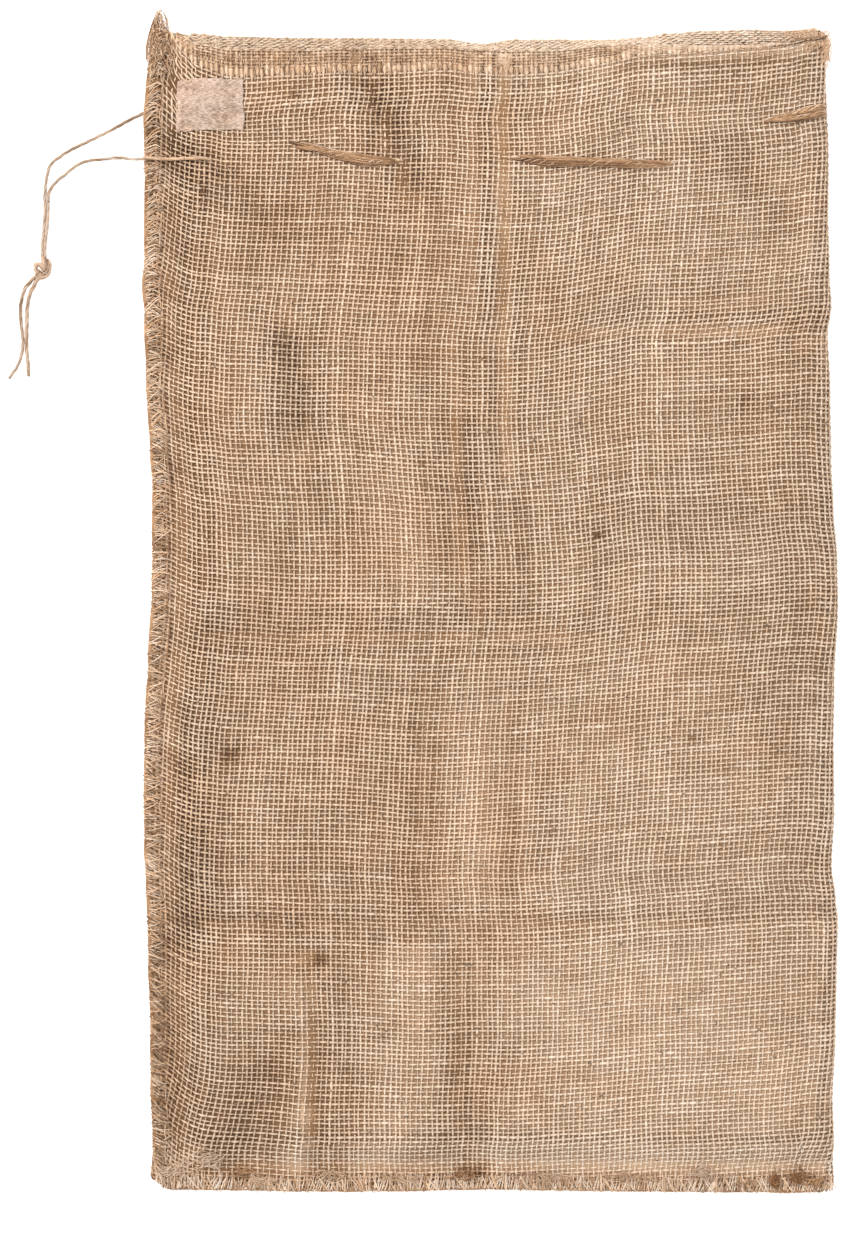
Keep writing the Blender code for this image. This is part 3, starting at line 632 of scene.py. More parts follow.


# Tone and warmth of the cloth at a place on the sheet: soft blotches, with the front's painted
# shade and painted light along its folds, at the strength depth, and its spots, browner and
# warmer in the seams, and a painted highlight on the fold and on the slope above the foot.
def clothTone(s, t, spot, depth):
    look = clothLook
    x, y = spot[..., 0], spot[..., 1]
    front = ease((halfSheet - s) / 6)
    tone, warm = (
        look[k] + sum(size * softField(s / cell, t / cell, seed) for size, cell, seed in look[k + "Blotches"])
        for k in ("tone", "warm")
    )
    # Painted shade and painted light of the folds, creases and ridges, at the strength depth.
    tone = tone + front * depth * foldHeight(weave["paintedShades"], x, y)
    for *where, less in weave["spots"]:
        near = front * mound(x, y, *where)
        tone, warm = tone - less * near, warm + less * near
    fromFoot = t - sackForm["footLine"]
    seam = np.maximum(1 - ease((fromSewn(s) - 4) / 7), 1 - ease((fromFoot - 4) / 7))
    right = ease((s - 140) / 60)
    # Painted highlight on the slope up from the foot seam, which faces away from the lamps; stronger towards
    # the right.
    footHighlight = ease((fromFoot - 6) / 4) * (1 - ease((fromFoot - 18) / 8))
    footHighlight = (look["footSlopeHighlight"][0] + look["footSlopeHighlight"][1] * ease((s - 120) / 40)) * footHighlight
    # Painted highlight, paler and warmer, along the fold, which faces away from the key lamp.
    fold = np.exp(-(((s - halfSheet) / 3.0) ** 2))
    tone = tone + look["seam"][0] * seam + look["right"][0] * right + footHighlight + look["fold"][0] * fold
    warm = warm + look["seam"][1] * seam + look["fold"][1] * fold + look["right"][1] * right
    return tone, warm


ringAngles = np.radians([90.0, 210.0, 330.0])


# One family of yarns as closed three-sided tubes, a ring at each crossing. A ring's corners
# stand at its angles: cosine times half the width sideways, sine times half the height
# outward. keep says which rings are there, and taper says which of their ends are thin.
def yarnTubes(centre, sideways, outward, wide, tall, keep, taper):
    yarns, rings = wide.shape
    segment = keep[:, :-1] & keep[:, 1:]
    before, after = np.pad(segment, ((0, 0), (1, 0))), np.pad(segment, ((0, 0), (0, 1)))
    starts, stops = after & ~before, before & ~after
    thin = np.where((starts | stops) & taper, 0.35, 1.0)
    flat, upright = np.cos(ringAngles) / 1.732, np.sin(ringAngles) / 1.5
    spread = sideways[:, :, None] * flat[:, None] * (wide * thin)[:, :, None, None]
    spread = spread + outward[:, :, None] * upright[:, None] * (tall * thin)[:, :, None, None]
    points = (centre[:, :, None] + spread).reshape(-1, 3)
    base = (np.arange(yarns)[:, None] * rings + np.arange(rings)[None, :]) * 3
    low, high = base[:, :-1][segment], base[:, 1:][segment]
    around = [(low + k, low + (k + 1) % 3, high + (k + 1) % 3, high + k) for k in range(3)]
    quads = np.concatenate([np.stack(four, axis=1) for four in around])
    foot, top = base[starts], base[stops]
    ends = (foot + 2, foot + 1, foot), (top, top + 1, top + 2)
    return points, quads, np.concatenate([np.stack(three, axis=1) for three in ends])


# How wide and what tone each ring of a family is: every yarn has its own, which wander along
# it, with a slub here and there.
def yarnCharacter(yarns, along, seed):
    dice = np.random.default_rng(seed)
    number = np.arange(yarns)[:, None] * 1.0
    own = dice.normal(0, 1, (yarns, 1)).clip(-2, 2)
    wide = 1 + 0.09 * own + 0.13 * softField(number, along / 9, seed + 1)
    wide = wide + 0.10 * softField(number, along / 3.1, seed + 2)
    slub = np.clip(softField(number, along / 6, seed + 3) - 0.72, 0, 1) * 1.6
    tone = 0.035 * dice.normal(0, 1, (yarns, 1)).clip(-2, 2) + 0.06 * softField(number, along / 12, seed + 4)
    return wide + slub, tone + 0.03 * softField(number, along / 2.5, seed + 5) + 0.1 * slub


# Turns the orientation outwards: if the closed surface's volume comes out below zero, every
# face is turned round.
def facedOut(points, quads, triangles):
    a, b, c, d = (points[quads[:, k]] for k in range(4))
    volume = np.einsum("ij,ij->", a, np.cross(b, c)) + np.einsum("ij,ij->", a, np.cross(c, d))
    if volume < 0:
        return quads[:, ::-1], triangles[:, ::-1]
    return quads, triangles


# Both families of yarns over the whole sheet, as arrays that the pieces are cut from. Long and
# cross yarns rise over and dip under each other by turns; in the heading the long ones float
# over two rows and then lie close, and the cross ones are packed.
def makeYarns():
    c, w = crossings, weave
    s, t, share, wave = c["s"], c["t"], c["share"], w["wave"]
    columns, rows = s.shape
    parity = np.where((np.arange(columns)[:, None] + np.arange(rows)[None, :]) % 2, 1.0, -1.0)
    heading = ease(share / 0.12)
    packed = share >= w["floatShare"]
    floats = (share > 0) & ~packed
    seam = 1 - ease((fromSewn(s) - 6) / 5)
    under = 1 + (w["backWide"] - 1) * ease((s - halfSheet - 6) / 8) + 0.25 * seam
    lift = wave * (1 - 0.25 * seam) * parity
    thin = 1 - moundHeight(w["thins"], c["place"][..., 0], c["place"][..., 1])
    tone, warm = clothTone(s, t, c["place"], 0.85)
    edge = ease((share - 0.72) / 0.2)
    # Where the back's heading shows inside the mouth it is made much paler and less warm: partly its own
    # paler colour, mostly painted light against the shade under the front's edge.
    behind = ease((s - halfSheet) / 8) * heading
    for k, part in (("heading", heading), ("mouthEdge", edge), ("lining", behind)):
        tone, warm = tone + clothLook[k][0] * part, warm + clothLook[k][1] * part
    byFold = ease((s - 215) / 40) * ease((halfSheet + 20 - s) / 10)
    tone = tone + heading * clothLook["headingMottle"] * softField(s / 3.2, t / 1.8, 45)
    ragged = 0.10 * softField(np.arange(columns)[:, None] * 1.0, 0.0, 47)
    closed = heading * (1.5 - 1.0 * ease((share - w["floatShare"] + 0.06 + ragged) / 0.12))
    longWide, longTone = yarnCharacter(columns, t, 51)
    crossWide, crossTone = (part.T for part in yarnCharacter(rows, s.T, 61))
    longWide = longWide * w["wide"][0] * (1 + closed) * (1 - 0.10 * byFold)
    crossWide = crossWide * w["wide"][1] * np.where(packed, 1.12, 1.0) * (1 + 0.06 * byFold)
    longRise = np.where(packed, lift * 0.8, np.where(floats, wave * 0.9, lift))
    crossRise = np.where(floats, -wave, -lift)
    families = []
    for wide, ownTone, rise, forward, sideways in (
        (longWide, longTone - 0.03 * byFold, longRise, c["along"], c["across"]),
        (crossWide, crossTone, crossRise, c["across"], c["along"]),
    ):
        square = unit(np.cross(c["outward"], forward))
        square = square * np.sign(np.einsum("ijk,ijk->ij", square, sideways))[:, :, None]
        families.append(dict(
            centre=c["place"] + c["outward"] * rise[:, :, None], sideways=square, wide=wide * under * thin,
            tall=w["tall"] * np.clip(wide, 0.9, 1.25) ** 0.5,
            # Painted highlight where a yarn rises over a crossing, painted shade where it dips under.
            tone=tone + ownTone + clothLook["crossingShade"] * np.clip(rise / wave, -1, 1) - 0.02, warm=warm,
        ))
    return families


yarns = makeYarns()
sackPieces = dict(
    rows=(83, 166), edge=5, foldColumn=halfSheet + 8,
    names=("sackFrontLow", "sackFrontMiddle", "sackFrontTop", "sackBackLow", "sackBackMiddle", "sackBackTop"),
)


# One piece of the weave: the long yarns' rings from one row to another and the cross yarns'
# rings from one column to another. Each yarn is parted a few crossings to one side or other.
def cutWeave(name, front, band):
    c, p, dice = crossings, sackPieces, np.random.default_rng(9)
    columns, rows = c["s"].shape
    row, column = np.arange(rows)[None, :], np.arange(columns)[:, None]
    splitRow = [split + dice.integers(-p["edge"], p["edge"] + 1, columns) for split in p["rows"]]
    splitRow = [np.zeros(columns, int), *splitRow, np.full(columns, rows - 1)]
    foldAt = int(p["foldColumn"] / weave["acrossPitch"])
    splitColumn = foldAt + dice.integers(-3, 4, rows)
    longKeep = (row >= splitRow[band][:, None]) & (row <= splitRow[band + 1][:, None])
    bandRows = [0, *p["rows"], rows]
    crossKeep = (row >= bandRows[band]) & (row < bandRows[band + 1])
    crossKeep = crossKeep & ((column <= splitColumn) if front else (column >= splitColumn))
    taper = (c["s"] < 4) | (c["s"] > 2 * halfSheet - 4) | (c["t"] < sackForm["footLine"] + 3)
    taper = taper | (c["share"] > 0.9)
    lots = []
    for family, keep in enumerate((longKeep & ((column < foldAt) == front), crossKeep)):
        y = yarns[family]
        arrays = [y["centre"], y["sideways"], c["outward"], y["wide"], y["tall"], keep & c["keep"], taper]
        arrays += [y["tone"], y["warm"], c["s"], c["t"]]
        if family:
            arrays = [part.swapaxes(0, 1) for part in arrays]
        points, quads, triangles = yarnTubes(*arrays[:7])
        tone, warm, s, t = (part[:, :, None] for part in arrays[7:])
        # Bake map: a strip for each yarn, with the long yarns on one half and the cross yarns
        # on the other.
        u = np.arange(len(tone))[:, None, None] + 0.5 + np.cos(ringAngles) * 0.5
        marks = dict(
            # Each ring's corners take the painted ridge highlight and lower-corner shade.
            tone=tone + weave["cornerShadeTone"], warm=warm + weave["cornerShadeWarm"], s=s, t=t, u=u,
            v=np.arange(tone.shape[1])[None, :, None],
        )
        marks = {k: np.broadcast_to(v, (*tone.shape[:2], 3)).ravel() for k, v in marks.items()}
        quads, triangles = facedOut(points, quads, triangles)
        points, quads, triangles, marks = onlyUsed(points, quads, triangles, marks)
        for mark in ("u", "v"):
            low, high = marks[mark].min(), marks[mark].max()
            marks[mark] = 0.003 + (marks[mark] - low) / (high - low) * 0.994
        marks["u"] = (marks["u"] + family) / 2
        lots.append((points, quads, triangles, marks))
    points, quads, triangles, marks = joined(lots)
    s, t = marks.pop("s"), marks.pop("t")
    bakeMap = np.stack([marks.pop("u"), marks.pop("v")], axis=1)
    bakeMap = bakeMap[np.concatenate([quads.ravel(), triangles.ravel()])]
    thing = putMesh(name, points * mm, quads, triangles, marks, bakeMap)
    thing["flatSize"] = (float(s.max() - s.min()) * mm, float(t.max() - t.min()) * mm)
    return thing


# Several lots of points, faces and marks as one, with each lot's faces numbered on from the last.
def joined(lots):
    first = np.cumsum([0, *(len(lot[0]) for lot in lots)])
    points = np.concatenate([lot[0] for lot in lots])
    quads, triangles = (np.concatenate([lot[k] + n for lot, n in zip(lots, first)]) for k in (1, 2))
    return points, quads, triangles, {k: np.concatenate([lot[3][k] for lot in lots]) for k in lots[0][3]}


sack = [cutWeave(name, number < 3, number % 3) for number, name in enumerate(sackPieces["names"])]
print("weave made")


# Points off the cloth: its middle surface moved out along its own square direction.
def offCloth(s, t, lift):
    here = clothPlace(s, t)
    square = unit(np.cross(clothPlace(s + 0.4, t) - here, clothPlace(s, t + 0.4) - here))
    return here + square * np.asarray(lift)[..., None]


# The nap is made darker by painted shade for the holes, with less of it in the heading.
napShadeForm = dict(
    columns=84, rows=76, depth=0.34, edge=1.2, cornerTop=239.0, top=244.6,
    holeShade=0.262, headingPaler=0.295, warmer=0.22,
)


# The nap: the felt of loose fibre that lies between the yarns and behind them, as one soft sheet
# just inside the cloth, from seam to seam over both layers. Its darker tone is mostly painted
# shade, the shade seen through the holes between the yarns: it takes the folds' painted shade and
# light at twice the yarns' strength, is darker still inside the left seam, and is made paler at
# the fold and in the heading.
def makeNapAndShade():
    n = napShadeForm
    s = np.linspace(n["edge"], 2 * halfSheet - n["edge"], n["columns"])
    s, share = np.meshgrid(s, np.linspace(0, 1, n["rows"]), indexing="ij")
    low = sackForm["footLine"] + n["edge"]
    fromEar = fromSewn(s)
    top = n["cornerTop"] + (n["top"] - n["cornerTop"]) * ease((fromEar - 17) / 9)
    t = low + (top - low) * share
    inHeading = ease((t - weave["headingStart"] + 1.0) / 3)
    points = offCloth(s, t, -n["depth"] * (1 - 0.6 * inHeading))
    tone, warm = clothTone(s, t, points, 1.7)
    # Deeper painted shade in the holes just inside the left seam, and a painted highlight at the fold.
    seamHoleShade = ease((fromEar - 9) / 3) * (1 - ease((fromEar - 14) / 22)) * (s < halfSheet)
    tone = tone - 0.08 * seamHoleShade + 0.20 * np.exp(-(((s - halfSheet) / 6.5) ** 2))
    tone = tone - n["holeShade"] + n["headingPaler"] * inHeading + 0.05 * softField(s / 3.5, t / 3.5, 46)
    quads = netFaces(s.shape)[1]
    around = np.stack([s / (2 * halfSheet), (t - t.min()) / (t.max() - t.min())], axis=-1)
    bakeMap = (around.reshape(-1, 2) * 0.996 + 0.002)[quads.ravel()]
    marks = dict(tone=tone, warm=warm + n["warmer"])
    return putMesh("sackNapAndShade", points.reshape(-1, 3) * mm, quads, noTriangles, marks, bakeMap)


napAndShade = makeNapAndShade()


# A place on a sewn edge, in millimetres. reach is the length from the outermost line of the
# edge over the front, or under the back when it is negative; along runs up the left side, or
# across the foot. The edge is half an ellipse of the seam's thickness.
def seamPlace(foot, along, reach, lift):
    form = sackForm
    half = form["seamThick"] / 2
    turn = np.clip(reach / (half * 1.571), -1, 1) * math.pi / 2
    inwards = half * (1 - np.cos(turn)) * 0.8 - ((0.0 if foot else 0.6) + lift) * np.cos(turn)
    inwards = inwards + np.maximum(np.abs(reach) - half * 1.571, 0)
    x = along if foot else inwards - form["halfWidth"]
    t = form["footLine"] + inwards if foot else along
    placed = place(x, t, 1.0)
    top, bottom = frontHeight(x, t, *placed), backHeight(*placed)
    height = (top + bottom) / 2 + ((top - bottom) / 2 + lift) * np.sin(turn)
    return np.stack([*placed, np.maximum(height, 0.5)], axis=-1)


# Strands along many routes at once, each to its own thickness, tone and warmth. paler is how
# much the tone rises from the first end to the last.
def makeStrands(routes, steps, radius, sides, tone, warm, seed, paler=0.0):
    line = smoothRoutes(routes, steps)
    tubes, rings = line.shape[:2]
    station = np.arange(rings)[None, :] * 0.7
    number = np.arange(tubes)[:, None] * 1.0
    swell = 1 + 0.22 * softField(number, station, seed)
    ends = np.minimum(1, 0.45 + np.minimum(np.arange(rings), np.arange(rings)[::-1]) * 0.4)
    thick = np.asarray(radius)[:, None] * swell * ends
    points, quads, triangles, bakeMap = roundTubes(line, *routeSides(line, (0.03, 0.05, 1.0)), thick, sides)
    tone = np.asarray(tone)[:, None] + 0.10 * softField(number, station * 1.3, seed + 1)
    tone = ringMarks(tone + paler * (np.linspace(0, 1, rings) - 0.5), sides)
    warm = np.broadcast_to(np.asarray(warm)[:, None], tone.shape)
    return points, quads, triangles, dict(tone=tone.ravel(), warm=warm.ravel()), bakeMap


# Several lots of strands as one mesh, each lot with its own band of the bake map.
def joinStrands(name, lots):
    maps = [[], []]
    for number, (_, four, _, _, bakeMap) in enumerate(lots):
        bakeMap = np.stack([bakeMap[:, 0], (bakeMap[:, 1] + number) / len(lots)], axis=1)
        maps[0].append(bakeMap[: four.size])
        maps[1].append(bakeMap[four.size :])
    points, quads, triangles, marks = joined(lots)
    return putMesh(name, points * mm, quads, triangles, marks, np.concatenate([*maps[0], *maps[1]]))


# The overhand knot in the doubled twine, in millimetres from its middle: both legs come down
# over the wraps, the wraps curve round the right side, a small loop stands at the left, and the
# tails leave at the lower left.
knotForm = dict(
    middle=(-196, 144.8, 0), radius=0.60, tone=[0.50, 0.38, 0.58, 0.44, 0.52], warm=0.45,
    wraps=[
        [(0.6, 4.4, 1.2), (2.2, 4.7, 1.7), (3.3, 3, 2.3), (3.4, 0.6, 2.8), (2.6, -1.9, 3.2),
         (0.6, -3.3, 3.2), (-1.8, -3.4, 2.9), (-3.4, -2.4, 2.2)],
        [(0.6, 3.3, 1.8), (1.9, 3.4, 2.5), (2.6, 2, 3.2), (2.4, 0.2, 3.8), (1.5, -1.3, 4.1),
         (0, -2.2, 4.1), (-1.8, -2.4, 3.6), (-3.2, -1.6, 2.6)],
        [(1.4, 4, 1.3), (2.9, 3.9, 1.9), (3.1, 1.8, 2.8), (3, -0.6, 3.3), (2.1, -2.5, 3.6),
         (0.2, -2.9, 3.8), (-1.8, -3, 3.3), (-3.4, -1.9, 2.3)],
    ],
    loops=[
        [(-0.8, -1.9, 2), (-2.3, -1.2, 2.4), (-3.3, 0.3, 2.7), (-3.4, 2, 2.8), (-2.4, 3.1, 2.9),
         (-1.1, 2.6, 3.3), (0.2, 1.2, 3.4), (1.5, -0.3, 3)],
        [(-0.4, -0.8, 2.6), (-1.5, -0.4, 3.1), (-2.4, 0.4, 3.4), (-2.5, 1.5, 3.5), (-1.8, 2.1, 3.6),
         (-0.9, 1.5, 3.9), (0, 0.4, 4), (0.9, -0.8, 3.5)],
        [(-0.6, -1.4, 2.5), (-1.9, -0.8, 2.9), (-2.9, 0.4, 3.2), (-3, 1.8, 3.3), (-2.1, 2.7, 3.4),
         (-1, 2.1, 3.7), (0.1, 0.8, 3.8), (1.2, -0.6, 3.3)],
    ],
    legs=[
        [(-0.2, 6.2, 2.6), (-0.1, 4.4, 3.3), (0, 2.6, 4.2), (0.3, 1, 4.2), (0.8, -0.5, 3.4)],
        [(1.15, 6, 2.6), (1.2, 4.4, 3.3), (1.3, 2.8, 4.2), (1.5, 1.2, 4.1), (1.8, -0.3, 3.3)],
        [(0.5, 6.2, 2.9), (0.6, 4.4, 3.7), (0.7, 2.8, 4.5), (0.9, 1.2, 4.4), (1.2, -0.3, 3.5)],
        [(0.2, -0.8, 2.4), (-1.2, -1.9, 2.7), (-2.8, -2.8, 2.8), (-3.8, -3.5, 2.75), (-4.5, -4.1, 2.75)],
        [(0.8, -1.8, 2.2), (-0.5, -2.9, 2.5), (-1.6, -3.9, 2.7), (-2.4, -4.5, 2.75), (-3.1, -5.1, 2.75)],
    ],
)


# The knot's strands, in its three parts.
def makeKnot():
    form, lots = knotForm, []
    for number, part in enumerate(("wraps", "loops", "legs")):
        routes = np.array(form[part]) + form["middle"]
        each = np.ones(len(routes))
        tone = form["tone"][: len(routes)]
        lots.append(makeStrands(routes, 5, each * form["radius"], 7, tone, each * form["warm"], 31 + number))
    return joinStrands("twineKnot", lots)


twineKnot = makeKnot()

seamForm = dict(
    sidePitch=8.7, sideStart=-247.0, sideEnd=226.0, inner=8.3, under=-5.0,
    footPitch=8.65, footStart=-117.0, footEnd=146.0, footFirst=(-141.0, -129.5),
    core=1.35, barRadius=0.27, slantRadius=0.22, hatchRadius=0.26, hatchStep=0.58,
    # At the left side, and at the foot.
    hatchTone=(0.58, 0.78), slantTone=(0.56, 0.72),
    # Slanting strands on each bar: how far along from it, and how high.
    slants=((0.0, 0.34), (1.6, 0.28), (-1.7, 0.22), (3.4, 0.16)),
)


# The whipped seam on one edge: a felt of short hatched strands that run over the edge, with a
# thin bar over each stitch that goes under to the back, slanting strands from one bar to the
# next, and a loop along the inner side that pinches in at each bar.
def seamLots(foot, starts, pitch, seed):
    form, dice, lots = seamForm, np.random.default_rng(seed), []
    count = len(starts)
    loose = 1.8 if foot else 1.0
    at = starts[:, None] + dice.uniform(-loose, loose, (count, 1))

    def wander(size, number=count):
        return dice.uniform(-size, size, (number, 1))

    def tint(middle, size, number=count):
        return middle + dice.uniform(-size, size, number)

    # The left side is darker towards the mouth, and darker still towards the foot.
    def dim(along):
        nearEnds = ease((along - 140) / 20) + 1.8 * ease((-132 - along) / 12)
        return (0.0 if foot else -0.07) * nearEnds

    def lay(reach, along, lift, steps, radius, sides, tone, warm, more):
        lots.append(makeStrands(
            seamPlace(foot, along, reach, lift), steps, radius, sides, tone, warm, seed + more,
        ))

    ends = (-149.5, 150.0) if foot else (form["sideStart"] - 9, form["sideEnd"] + 8)
    # A core of packed fibre that fills the edge beneath the strands.
    core = np.arange(ends[0] + 2, ends[1] - 3, 3.0)[None]
    lay(np.zeros(core.shape), core, -form["core"], 1, [form["core"]], 8, [0.36], [0.55], 9)
    base = np.arange(*ends, form["hatchStep"])
    number = len(base)
    base = base + dice.uniform(-0.4, 0.4, number)
    swing = 0.9 + 0.9 * np.sin(2 * math.pi * (base - starts[0]) / pitch) * (not foot)
    swing = swing + 1.9 * softField(base / 5.0, 0.0, seed + 3)
    reach = np.array([-3.2, 0.2, 2.6, 5.4, 7.8])[None] + wander(0.8, number)
    reach[:, 4] += dice.uniform(-1.6, 2.0, number)
    lean = np.array([1.3, 0.6, 0.1, -0.6, -1.2])[None] * (swing + dice.uniform(-0.9, 0.9, number))[:, None]
    tone = form["hatchTone"][foot]
    lay(
        reach, base[:, None] + (-0.8 * lean if foot else lean), 0.05, 1,
        tint(1.0, 0.3, number) * form["hatchRadius"], 3, dim(base) + tint(tone, 0.34, number),
        tint(0.20 if foot else 0.16, 0.22, number), 5,
    )
    reach = np.array([form["under"], -2.5, 0.0, 2.5, 5.6, form["inner"]])[None] + wander(0.5)
    along = at + np.array([-1.2, -0.6, -0.2, 0.0, 0.1, 0.2])[None] * tint(1.0, 1.5)[:, None]
    lay(
        reach, along, 0.30, 2, tint(1.0, 0.2) * form["barRadius"], 5,
        dim(starts) + tint(0.60, 0.22), tint(0.35, 0.30), 0,
    )
    reach = np.array([0.4, 2.8, 5.4, form["inner"] - 0.6])[None] + wander(1.5)
    reach = reach[:, ::-1] if foot else reach
    for shift, rise in form["slants"]:
        along = at + np.array([0.16, 0.32, 0.52, 0.72])[None] * pitch * tint(0.9, 0.5)[:, None]
        lay(
            reach, along + shift + wander(1.2), rise, 2, tint(1.0, 0.25) * form["slantRadius"], 4,
            dim(starts) + tint(form["slantTone"][foot], 0.32), tint(0.40, 0.35), 2,
        )
    share = np.linspace(0, 1, 5)[None]
    reach = form["inner"] - 0.4 - np.sin(share * math.pi) * tint(1.2, 1.6)[:, None] + wander(1.4)
    lay(
        reach, at + share * pitch, 0.12, 1, tint(0.9, 0.3) * form["slantRadius"], 4,
        tint(0.52, 0.26), tint(0.40, 0.3), 7,
    )
    return lots


# The ear at the top left corner: strands of the sewn side drawn up to a point, where one turns
# over and comes back down as a loose loop, with thin threads across the opening it leaves.
earForm = dict(
    strands=[
        [(-150.2, 236, 1.6), (-150, 243, 1.7), (-148.2, 250, 1.8), (-145.6, 257.6, 1.8)],
        [(-148.6, 235, 2.7), (-148.4, 243, 2.6), (-147, 250, 2.3), (-145, 257.9, 2)],
        [(-146.8, 234, 3.1), (-147.4, 241, 2.9), (-146.6, 248, 2.6), (-145.2, 254.5, 2.3)],
        [(-144.4, 235, 3.3), (-145.6, 240.5, 3.1), (-146.2, 246, 2.8), (-146, 252.5, 2.5)],
        [(-142, 236, 3.5), (-144, 240, 3.2), (-145, 245, 2.9), (-145.6, 250, 2.6)],
        [(-139.4, 238.5, 3.7), (-141.6, 242.5, 3.3), (-143.2, 246.5, 3), (-144.4, 250.8, 2.5)],
        [(-137.6, 241.5, 3.8), (-139.6, 245, 3.3), (-141.6, 248.4, 2.8), (-143.4, 252, 2.2)],
        [(-149.6, 238, 2), (-147, 243.5, 3.2), (-145, 248, 3), (-143.6, 252.6, 2.2)],
        [(-150, 232, 2.2), (-147.8, 238, 3.3), (-145.4, 243.5, 3.4), (-143, 248.5, 2.7)],
        [(-150.2, 227, 2.2), (-148, 232.5, 3.4), (-145.8, 237, 3.6), (-142.4, 243, 3.3)],
        [(-145.6, 257.2, 1.8), (-143.8, 258.6, 1.7), (-142, 255.2, 1.4), (-140.6, 249.6, 1.6)],
        [(-146.2, 249.5, 1.4), (-143.6, 251.8, 1.4), (-141.4, 250.2, 1.5), (-139.2, 247.4, 2.2)],
    ],
    radius=[0.75, 0.75, 0.7, 0.7, 0.62, 0.6, 0.55, 0.6, 0.55, 0.5, 0.34, 0.4],
    # Each layer of them: how many, how far moved, and their thickness, tone and warmth.
    layers=[
        (12, (0, 0, 0), 0.55, 0.42, 0.35), (12, (-0.5, 0.7, 0.25), 0.42, 0.36, 0.40),
        (10, (0.8, -1.6, 0.2), 0.40, 0.48, 0.30),
    ],
    # The short stitches that cover the ear lie between its left and its right outline.
    left=[
        (-149.4, 230), (-149.9, 238), (-149.7, 244), (-148.3, 250.5), (-146.4, 255.4), (-145, 258.2),
    ],
    right=[
        (-139, 230), (-137, 238), (-136.5, 243), (-140.6, 248.6), (-143, 252.8), (-144.2, 257.4),
    ],
    stitches=230,
    threads=[
        [(-144.8, 257.6, 1.5), (-143.4, 255.6, 1.2), (-144.2, 253.4, 1.3), (-142.6, 251.6, 1.4)],
        [(-143.6, 257.8, 1.5), (-144.6, 255, 1.6), (-142.4, 253.6, 1.2), (-141.6, 251, 1.3)],
        [(-142.4, 256.8, 1.2), (-141.2, 254.2, 0.9), (-140.2, 251.8, 0.9), (-139.4, 248.6, 1.2)],
    ],
)


# Three places across each middle: half a length back and forth in the direction it is turned to.
def acrossMiddle(middle, turn, half):
    aim = np.stack([np.cos(turn), np.sin(turn)]) * half
    return middle[:, :, None] + aim[:, :, None] * np.array([-1.0, 0.0, 1.0])


# The ear: long strands beneath, and over them short stitches, each in its own direction, at
# random shares of the way up the ear and from its left outline to its right.
def makeEar():
    form, dice = earForm, np.random.default_rng(97)
    route, radius = np.array(form["strands"]), np.array(form["radius"])
    each, threads = np.ones(len(radius)), np.ones(len(form["threads"]))
    count = form["stitches"]
    up = dice.uniform(0, 1, count) ** 1.25
    share = dice.uniform(0.02, 0.98, count)
    rows = np.linspace(0, 1, len(form["left"]))
    left, right = (
        np.stack([np.interp(up, rows, line) for line in np.array(form[k]).T]) for k in ("left", "right")
    )
    middle = left + (right - left) * share
    across = dice.uniform(0, 1, count) < 0.55
    turn = np.radians(np.where(across, dice.normal(25, 30, count), dice.normal(100, 22, count)))
    half = np.where(across, dice.uniform(0.5, 1.5, count), dice.uniform(1.0, 2.4, count)) * (1 - 0.45 * up)
    spot = acrossMiddle(middle, turn, half)
    height = 2.6 + (1.6 * np.sin(share * math.pi) * (1 - up) + dice.uniform(0, 0.5, count))[:, None]
    line = np.stack([*spot, height + [0.0, 0.45, 0.0]], axis=-1)
    lots = []
    for number, (last, move, thick, tone, warm) in enumerate(form["layers"]):
        lots.append(makeStrands(
            route[:last] + move, 4, radius[:last] * thick, 5 if number == 0 else 4,
            each[:last] * tone, each[:last] * warm, 91 + number,
        ))
    lots.append(makeStrands(
        line, 1, dice.uniform(0.18, 0.34, count), 3, dice.uniform(0.34, 0.74, count),
        dice.uniform(0.1, 0.5, count), 94,
    ))
    lots.append(makeStrands(form["threads"], 4, threads * 0.2, 4, threads * 0.85, threads * 0.1, 95))
    return joinStrands("cornerEar", lots)


# Both whipped seams, with a bar every pitch along the edge, and the ear.
def makeSeams():
    form = seamForm
    sides = np.arange(form["sideStart"], form["sideEnd"], form["sidePitch"])
    feet = np.arange(form["footStart"], form["footEnd"] - 4, form["footPitch"])
    feet = np.concatenate([form["footFirst"], feet])
    left = joinStrands("leftSeam", seamLots(False, sides, form["sidePitch"], 71))
    foot = joinStrands("footSeam", seamLots(True, feet, form["footPitch"], 81))
    return [left, foot, makeEar()]


seams = makeSeams()

# The run of twine. The visible stitches lie a little in the cloth, under their slack strands.
runForm = dict(
    twine=2.0, gap=-0.10, ground=1.15, dive=3.4, step=1.9, edges=(-146.5, 141.7),
    front=[
        ((-160, 193.8), (-122.5, 192.8)), ((-85, 197.6), (-40, 191.9)),
        ((12, 193.6), (79, 190.6)), ((121, 208.8), (160, 214)),
    ],
)


# Stitch points of the run on one layer: outside the cloth at five even places along each
# stitch, inside it at three between one stitch and the next.
def stitchLine(stitches, outside, inside):
    points = []

    def walk(start, end, shares, layer):
        points.extend(layer(*(start + (end - start) * k)) for k in shares)

    for number, stitch in enumerate(stitches):
        start, end = np.array(stitch)
        step = (end - start) / np.linalg.norm(end - start) * runForm["dive"]
        walk(start + step, end - step, (0, 0.25, 0.5, 0.75, 1), outside)
        if number < len(stitches) - 1:
            walk(end + step, np.array(stitches[number + 1][0]) - step, (0, 0.5, 1), inside)
    return [point for point in points if runForm["edges"][0] < point[0] < runForm["edges"][1]]


